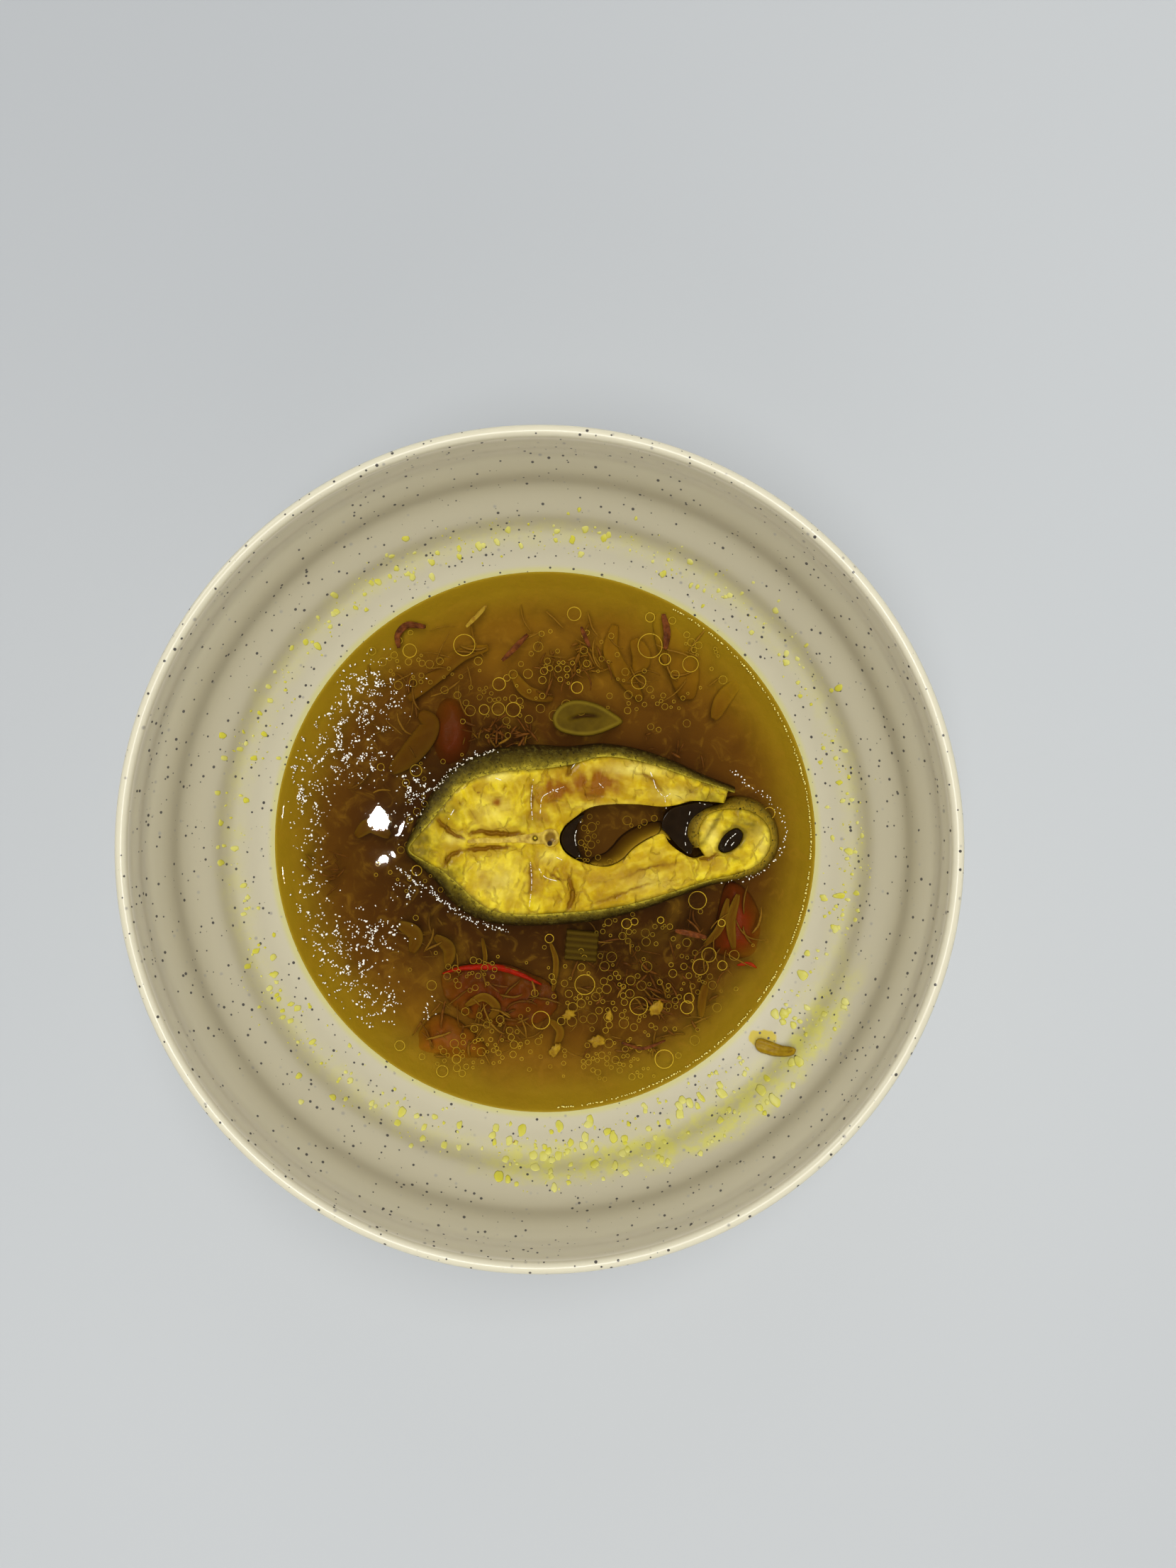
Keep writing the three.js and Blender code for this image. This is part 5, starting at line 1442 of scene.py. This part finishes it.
# Onion layers: a line in pixels down the middle of each, a width and the depths of its two ends.
ONION_LAYERS = [
    ([(930, 862), (948, 900), (966, 945), (972, 986)], 9, 1.4, 2.2),
    ([(894, 900), (906, 925), (898, 950)], 5, 1.2, 2.4),
    ([(1008, 1014), (1022, 985), (1046, 958)], 4.4, 1, 2),
    ([(550, 1088), (578, 1062), (604, 1020), (590, 1004)], 6.4, 1, 2.2),
    ([(574, 986), (612, 952), (650, 922), (688, 912)], 4.2, 1.6, 1.2),
    ([(722, 948), (742, 974), (780, 986)], 3.4, 1.4, 2.2),
    ([(868, 880), (862, 915), (880, 950), (906, 985)], 4.6, 1.8, 2.8),
    ([(500, 1180), (520, 1165), (548, 1180)], 4, 1.6, 2),
    ([(1028, 1268), (1016, 1310), (994, 1336)], 2.2, 0.9, 1.4),
    ([(1042, 1262), (1032, 1300), (1036, 1340)], 2.6, 0.8, 1.2),
    ([(1000, 1380), (992, 1410), (990, 1440)], 2.4, 1.4, 2),
    ([(776, 1330), (784, 1356), (780, 1400)], 1.6, 0.9, 1.2),
    ([(680, 1324), (684, 1352), (682, 1368)], 1.2, 0.8, 1),
    ([(612, 1322), (632, 1340), (630, 1366)], 3.4, 1.4, 2),
    ([(560, 1304), (584, 1320), (580, 1346)], 4, 1.3, 2),
    ([(776, 1440), (790, 1456), (784, 1478)], 2.2, 0.8, 1.2),
    ([(656, 1420), (682, 1408), (700, 1424), (684, 1444)], 2.4, 0.9, 1.5),
]


ONION_COLUMNS = 13


def make_onion():
    layers = []
    edges = []
    across = np.abs(np.linspace(-1, 1, ONION_COLUMNS))
    for i, (line, width, start, end) in enumerate(ONION_LAYERS):
        sunk = 1 if width > 4 else 0.2
        path = at_depth(pixels(*line), start + sunk, end + sunk)
        layers.append(sheet(path, width, 0.5, -0.07 * width, ONION_COLUMNS, 0.3, 0.25, i * 4.1))
        edges += [np.tile(across, 2 * len(path)), np.zeros(2)]
    f = Finish("clear_onion")
    edge = f.math("POWER", f.mark("edge"), 2.5)
    tone = f.mix(f.noise(4, 2), (104, 70, 9), (124, 88, 13))
    tone = f.mix(edge, tone, (168, 134, 34))
    finish = f.done(Base_Color=steeped(f, tone, 1.5), Roughness=0.5, Specular_IOR_Level=0.1)
    piece("onion", joined(layers), finish, marks={"edge": np.concatenate(edges)})


# Tangles of fried shallot and onion threads: a middle, its reach, how many threads and their length.
BROWN_TANGLES = [
    ((706, 1034), (46, 17), 44, 4.5), ((800, 938), (50, 32), 46, 6), ((900, 1370), (72, 26), 26, 7),
    ((930, 1410), (48, 34), 26, 7), ((452, 1232), (26, 30), 14, 5), ((940, 1060), (60, 18), 10, 5),
    ((600, 1462), (30, 32), 12, 8), ((700, 1430), (60, 40), 16, 8), ((980, 1340), (40, 40), 12, 6),
    ((870, 1480), (50, 20), 10, 8), ((560, 960), (50, 40), 12, 7),
]
PALE_TANGLES = [
    ((706, 1036), (50, 18), 16, 4), ((640, 930), (60, 50), 12, 10), ((800, 900), (90, 50), 14, 9),
    ((960, 930), (70, 60), 16, 10), ((1020, 1330), (50, 60), 12, 10), ((800, 1430), (130, 60), 26, 9),
    ((600, 1340), (70, 50), 12, 8), ((690, 1440), (60, 50), 18, 8), ((960, 1440), (70, 60), 14, 9),
    ((560, 1060), (50, 60), 10, 8), ((880, 1345), (60, 25), 8, 7),
]


def tangle(rng, middle, reach, count, length, thick):
    threads = []
    for _ in range(count):
        px = rng.gauss(middle[0], reach[0] * 0.55)
        py = rng.gauss(middle[1], reach[1] * 0.55)
        x, y = from_pixel(px, py)
        heading = rng.uniform(0, tau)
        bend = rng.uniform(-0.16, 0.16)
        depth = rng.uniform(0.35, 3)
        sink = rng.uniform(-0.08, 0.1)
        steps = max(4, int(length * rng.uniform(0.5, 1.3) / 0.7))
        line = []
        for _ in range(steps):
            line.append((x, y, BROTH_LEVEL - max(depth, 0.3)))
            x += cos(heading) * 0.7
            y += sin(heading) * 0.7
            heading += bend * 0.7 + rng.gauss(0, 0.07)
            depth += sink * 0.7
        if hypot(x, y) > BROTH_RADIUS - 6:
            continue
        threads.append(strand(line, thick * rng.uniform(0.6, 1.5), 0.45, sides=6, seed=depth))
    return threads


def make_tangles():
    rng = random.Random(7)
    for name, tangles, thick, light, dark in (
        ("fried_threads", BROWN_TANGLES, 0.6, (132, 82, 26), (70, 38, 8)),
        ("onion_threads", PALE_TANGLES, 0.5, (156, 118, 34), (120, 84, 16)),
    ):
        threads = []
        for middle, reach, count, length in tangles:
            threads += tangle(rng, middle, reach, count, length, thick)
        piece(name, joined(threads), vegetable_finish(name, light, dark, 1.6))


# ---- Oil rings, painted glints and drops ----

# Rings of oil that stand out: the pixel of each middle and its radius in pixels.
OIL_RINGS = [
    (655, 910, 15), (578, 918, 9.5), (917, 911, 17), (974, 937, 11), (810, 866, 9.5), (917, 871, 6.5),
    (901, 962, 10), (984, 1270, 12.5), (901, 1419, 12.5), (937, 1494, 13), (825, 1389, 14),
    (988, 1364, 11), (972, 1408, 7), (969, 1421, 9), (1000, 1347, 10), (1019, 1362, 6.5),
    (883, 1239, 7.5), (763, 1439, 12.5), (609, 1390, 6.7), (624, 1511, 8), (644, 1494, 6),
    (564, 1475, 7), (587, 1087, 8), (588, 1228, 7), (1018, 1302, 5), (1085, 1147, 8),
    (703, 1000, 9), (724, 1001, 10), (683, 1001, 7), (814, 970, 8), (704, 965, 9), (938, 930, 8),
    (884, 1303, 7), (932, 1298, 4.5), (895, 1300, 5), (775, 1324, 6),
]
# Crowds of small rings: the middle's pixel, the reach in pixels, how many and the largest radius.
RING_CROWDS = [
    ((700, 995), (60, 40), 40, 7), ((800, 950), (80, 50), 40, 6), ((830, 1190), (12, 42), 34, 6.5),
    ((868, 1215), (26, 12), 12, 6), ((912, 1162), (16, 14), 12, 5.5), ((840, 1390), (70, 45), 70, 7),
    ((900, 1440), (80, 60), 60, 6), ((700, 1470), (70, 40), 50, 5), ((980, 1370), (60, 60), 40, 6),
    ((900, 1320), (60, 20), 26, 5), ((600, 1180), (60, 120), 26, 4), ((860, 1500), (60, 25), 40, 5),
    ((590, 940), (70, 40), 30, 5), ((1000, 900), (70, 60), 24, 5), ((665, 1370), (60, 25), 24, 4),
    ((640, 1500), (40, 20), 20, 5), ((920, 990), (50, 40), 24, 5),
]
FILM_LIFT = 0.06


def make_rings():
    rng = random.Random(11)
    scale = (CAMERA[2] - BROTH_LEVEL) / PIXELS_PER_RADIAN
    rings = [(*from_pixel(px, py), radius * scale) for px, py, radius in OIL_RINGS]
    shapes = [ring_shape(x, y, BROTH_LEVEL + FILM_LIFT, radius, 0.12, 0.6, 40) for x, y, radius in rings]
    strong = sum(len(points) for points, _ in shapes)
    for middle, reach, count, largest in RING_CROWDS:
        for _ in range(int(count * 1.5)):
            x, y = from_pixel(rng.gauss(middle[0], reach[0] * 0.5), rng.gauss(middle[1], reach[1] * 0.5))
            radius = scale * (1.8 + (largest + 1 - 1.8) * rng.random() ** 1.4)
            apart = all(hypot(x - a, y - b) > (radius + other) * 0.96 for a, b, other in rings)
            if apart and hypot(x, y) < BROTH_RADIUS - 3:
                rings.append((x, y, radius))
                shapes.append(ring_shape(x, y, BROTH_LEVEL + FILM_LIFT, radius, 0.09, 0.6, 20, 5))
    f = Finish("oil_film")
    tone = f.mix(f.noise(6, 2), (212, 178, 48), (184, 146, 30))
    share = f.times(f.step(f.noise(9, 2), 0.3, 0.7, 0.4, 0.95), f.mark("strong"))
    finish = f.done(Base_Color=f.mix(share, soup_colour(f), tone), Roughness=0.3, Specular_IOR_Level=0.2)
    shape = joined(shapes)
    marks = {"strong": np.where(np.arange(len(shape[0])) < strong, 1, 0.6)}
    piece("oil_rings", shape, finish, marks=marks)


# Patches of painted glints, fine pale beads on the broth: the middle's pixel, the reach in pixels and how
# many beads.
GLINT_PATCHES = [
    ((520, 985), (44, 46), 330), ((470, 1040), (30, 50), 190), ((500, 1075), (50, 30), 150),
    ((440, 1130), (22, 50), 110), ((585, 1110), (16, 26), 90), ((560, 1155), (30, 16), 40),
    ((440, 1250), (22, 60), 120), ((470, 1330), (34, 40), 130), ((530, 1320), (36, 30), 150),
    ((495, 1375), (36, 30), 110), ((535, 1420), (34, 26), 100), ((575, 1255), (22, 20), 40),
    ((605, 1425), (10, 16), 16), ((420, 1100), (12, 60), 60),
]
# Chains of painted glints, pale beads along the edges of the broth, as pixels of their middle line.
GLINT_CHAINS = [
    [(618, 1108), (640, 1086), (668, 1067), (700, 1058)], [(572, 1124), (596, 1118), (618, 1110)],
    [(560, 1222), (580, 1240), (606, 1256), (620, 1268)],
    [(614, 1262), (640, 1284), (676, 1302), (714, 1312)],
    [(1028, 1090), (1046, 1096), (1056, 1110), (1080, 1124), (1100, 1148), (1108, 1176), (1100, 1202),
     (1080, 1226), (1058, 1238), (1012, 1242)],
]
# Where the chain of painted glints along the bowl's wall begins and ends, in degrees.
RIM_CHAIN = (-88, 62)
# Painted highlights: pale beads along the wet creases of the steak, as pixels.
FLESH_GLINTS = [
    [(640, 1143), (633, 1155)], [(752, 1100), (749, 1128), (751, 1156)],
    [(748, 1215), (750, 1246), (747, 1278)],
    [(762, 1147), (765, 1125), (775, 1118), (795, 1110)], [(760, 1225), (768, 1237), (785, 1243)],
    [(918, 1090), (922, 1100), (926, 1112), (938, 1124), (945, 1120)], [(938, 1124), (940, 1140)],
    [(786, 1210), (792, 1213)], [(700, 1098), (706, 1100)], [(846, 1106), (852, 1112)],
    [(780, 1114), (788, 1118)], [(812, 1076), (806, 1084)],
]
# The same on the black linings.
LINING_GLINTS = [
    [(820, 1158), (811, 1180), (817, 1208)], [(1022, 1197), (1028, 1186), (1038, 1177)],
    [(1030, 1196), (1036, 1189)], [(988, 1133), (1004, 1137)],
    [(975, 1142), (971, 1158), (967, 1185), (970, 1203)],
]
LINING_GLINT_HEIGHT = FISH_TOP - 1.4


# Pale beads along the steak's creases and on its linings: painted highlights.
def flesh_glints(rng):
    beads = []
    for line in FLESH_GLINTS + LINING_GLINTS:
        path = smooth_path(pixels(*line, z=FISH_TOP), 0.42)
        on_flesh = line in FLESH_GLINTS
        heights = flesh_top(path) if on_flesh else np.full(len(path), LINING_GLINT_HEIGHT)
        side = right_of(path, 1)
        for (x, y), z, (sx, sy) in zip(path, heights, side):
            if rng.random() < (0.78 if on_flesh else 0.55):
                axes = ((-sy, sx, 0), (sx, sy, 0), (0, 0, 1))
                size = rng.uniform(0.07, 0.16)
                beads.append(dome((x, y, z), axes, (size * rng.uniform(1.4, 3.2), size, size), 8, 2))
    return beads


def glint_beads(places, rng):
    beads = []
    for x, y, z, size in places:
        axes = flat_axes(rng.uniform(0, pi))
        long = rng.uniform(1, 1.7)
        beads.append(dome((x, y, z - 0.05), axes, (size * long, size, size * 0.8), 8, 2))
    return beads


# White and pale yellow beads that stand in for glints: painted highlights.
def painted_glint_finish(name, light, dark):
    f = Finish(name)
    tone = f.mix(f.noise(3, 2), light, dark)
    return f.done(Base_Color=tone, Roughness=0.12, Coat_Weight=0.6, Coat_Roughness=0.03)


# Painted glints: pale beads in patches and chains on the broth, along the steak's creases and linings, and
# round the wall's edge.
def make_painted_glints():
    rng = random.Random(23)
    spots = []
    for middle, reach, count in GLINT_PATCHES:
        for _ in range(count * 2):
            px, py = rng.gauss(middle[0], reach[0] * 0.6), rng.gauss(middle[1], reach[1] * 0.6)
            if soft_noise(px / 11, py / 11, 2) > 0:
                spots.append((px, py, rng.uniform(0.09, 0.21) * (1.6 if rng.random() < 0.12 else 1)))
    for chain in GLINT_CHAINS:
        for px, py in smooth_path(chain, 3.2):
            for _ in range(2 if px < 800 else 1):
                spots.append((px + rng.gauss(0, 2.2), py + rng.gauss(0, 2.2), rng.uniform(0.09, 0.22)))
    places = []
    for px, py, size in spots:
        x, y = from_pixel(px, py)
        if hypot(x, y) < BROTH_RADIUS - 1:
            places.append((x, y, BROTH_LEVEL + 0.15, size))
    rim = []
    for angle in np.arange(*RIM_CHAIN, 0.5):
        a = radians(angle + rng.gauss(0, 0.1))
        reach = BROTH_RADIUS - 1 + rng.gauss(0, 0.08)
        if rng.random() < 0.75:
            rim.append((cos(a) * reach, sin(a) * reach, BROTH_LEVEL + 0.12, rng.uniform(0.13, 0.24)))
    beads = flesh_glints(rng) + glint_beads(places, rng)
    piece("foam", joined(beads), painted_glint_finish("painted_glint_white", (255, 255, 255), (250, 244, 224)))
    # The chain of painted glints round the wall's edge, tinted yellow.
    finish = painted_glint_finish("rim_foam", (255, 246, 160), (236, 216, 100))
    piece("rim_foam", joined(glint_beads(rim, rng)), finish)


DROP_TRIES = 900
# In degrees round the bowl: where the broth is smeared on the wall, and where the herb sliver lies.
SMEAR = (-98, -25)
HERB_SHADE = (-47, -37)


def make_drops():
    """Drops of broth splashed on the wall, most of them low and in the smear at the lower right."""
    rng = random.Random(31)
    drops = []
    for _ in range(DROP_TRIES):
        low = rng.random() < 0.13
        angle = rng.uniform(-100, -25) if low else rng.uniform(-180, 180)
        in_smear = SMEAR[0] < angle < SMEAR[1]
        radius = rng.uniform(74, 88) if in_smear else rng.gauss(80, 2.6)
        if not 73.6 < radius < 89:
            continue
        crowd = soft_noise(cos(radians(angle)) * 7, sin(radians(angle)) * 7, 3)
        under_herb = HERB_SHADE[0] < angle < HERB_SHADE[1] and radius < 83
        if crowd < -0.2 and not in_smear or under_herb:
            continue
        size = 0.16 + (1.1 if in_smear else 0.8) * rng.random() ** 3
        at, axes = on_wall(radius, angle)
        seed = rng.uniform(0, 99)

        def ragged(turn, seed=seed):
            return 1 + 0.5 * soft_noise(cos(turn), sin(turn), seed)

        drops.append(dome(at, axes, (size, size * rng.uniform(0.9, 1.7), 0.1 + size * 0.06), 12, 3, ragged))
    f = Finish("splashed_broth")
    tone = f.ramp(f.noise(7, 2), (0.4, (214, 208, 118)), (0.6, (204, 196, 62)))
    tone = f.mix(f.spots(2.6, 0.6, 0.3, 0.22), tone, (150, 112, 28))
    finish = f.done(Base_Color=tone, Roughness=0.3)
    piece("wall_drops", joined(drops), finish)


# ---- Floor, light and camera ----


FLOOR_HALF = 2500


def placed(name, data, at=(0, 0, 0)):
    """A new object in the scene at a place in millimetres."""
    obj = bpy.data.objects.new(name, data)
    obj.location = Vector(at) * MM
    bpy.context.scene.collection.objects.link(obj)
    return obj


def make_floor():
    f = Finish("pale_table")
    tone = f.mix(f.noise(400, 2), (196, 200, 202), (202, 204, 204))
    # Painted shade: the table darkens towards the upper left.
    far = f.step(f.distance_from(-150, 240), 0, 470, 0.42, 0)
    tone = f.mix(far, tone, (160, 163, 166))
    mesh = bpy.data.meshes.new("table")
    corners = [(x * FLOOR_HALF * MM, y * FLOOR_HALF * MM, 0) for x, y in ((-1, -1), (1, -1), (1, 1), (-1, 1))]
    mesh.from_pydata(corners, [], [(0, 1, 2, 3)])
    mesh.materials.append(f.done(Base_Color=tone, Roughness=0.75))
    placed("table", mesh)


def add_light(name, place, size, power, diffuse=True, glossy=True):
    data = bpy.data.lights.new(name, "AREA")
    data.shape = "ELLIPSE"
    data.size = size[0] * MM
    data.size_y = size[1] * MM
    data.energy = power
    light = placed(name, data, place)
    aim = Vector((0, 0, BROTH_LEVEL * MM)) - light.location
    light.rotation_euler = aim.to_track_quat("-Z", "Y").to_euler()
    light.visible_diffuse = diffuse
    light.visible_glossy = glossy


LAMP_HEIGHT = 1500


def mirrored_lamp(name, px, py, size, power):
    """A small lamp that the broth mirrors at a pixel of the photograph."""
    x, y = from_pixel(px, py)
    share = LAMP_HEIGHT / (CAMERA[2] - BROTH_LEVEL)
    place = (x + (x - CAMERA[0]) * share, y + (y - CAMERA[1]) * share, BROTH_LEVEL + LAMP_HEIGHT)
    add_light(name, place, (size, size), power, diffuse=False)


def make_lights():
    world = bpy.data.worlds.new("studio")
    world.use_nodes = True
    tree = world.node_tree
    sky = tree.nodes["Background"]
    place = tree.nodes.new("ShaderNodeTexCoord")
    split = tree.nodes.new("ShaderNodeSeparateXYZ")
    ramp = tree.nodes.new("ShaderNodeValToRGB")
    tree.links.new(place.outputs["Generated"], split.inputs[0])
    tree.links.new(split.outputs[2], ramp.inputs[0])
    tree.links.new(ramp.outputs[0], sky.inputs["Color"])
    low, high = ramp.color_ramp.elements
    low.position, low.color = 0, (0.3, 0.305, 0.31, 1)
    high.position, high.color = 0.9, (0.06, 0.06, 0.06, 1)
    sky.inputs["Strength"].default_value = 1
    bpy.context.scene.world = world
    add_light("soft_box", (20, 60, 1500), (760, 1700), 24.5, glossy=False)
    for name, y in (("north_wall", 1500), ("south_wall", -1500)):
        add_light(name, (0, y, 1000), (1100, 600), 2.2, glossy=False)
    add_light("window", (-900, 700, 700), (420, 420), 2.4, diffuse=False)
    add_light("lip_lamp", (0, 0, 1200), (60, 60), 1.7, diffuse=False)
    mirrored_lamp("lamp_large", 533, 1155, 26, 0.7)
    mirrored_lamp("lamp_small", 537, 1213, 14, 0.25)


def light_only(lamps, name):
    """These lamps light only the named piece, so that no other surface shows their glow."""
    lit = bpy.data.collections.new("lit_" + name)
    lit.objects.link(bpy.data.objects[name])
    for lamp in lamps:
        bpy.data.objects[lamp].light_linking.receiver_collection = lit


def make_camera():
    data = bpy.data.cameras.new("camera")
    data.sensor_width = 36
    data.sensor_fit = "AUTO"
    data.lens = LENS
    bpy.context.scene.camera = placed("camera", data, CAMERA)


for make in (
    make_camera, make_floor, make_lights, make_bowl, make_flesh, make_skin, make_backbone, make_linings,
    make_belly_wall, make_broth, make_garlic, make_leek, make_herb, make_shreds, make_tomato, make_onion,
    make_tangles, make_rings, make_painted_glints, make_drops,
):
    make()
light_only(("lamp_large", "lamp_small"), "broth_surface")
light_only(("lip_lamp",), "bowl_body")

bpy.context.scene.view_settings.view_transform = "Standard"
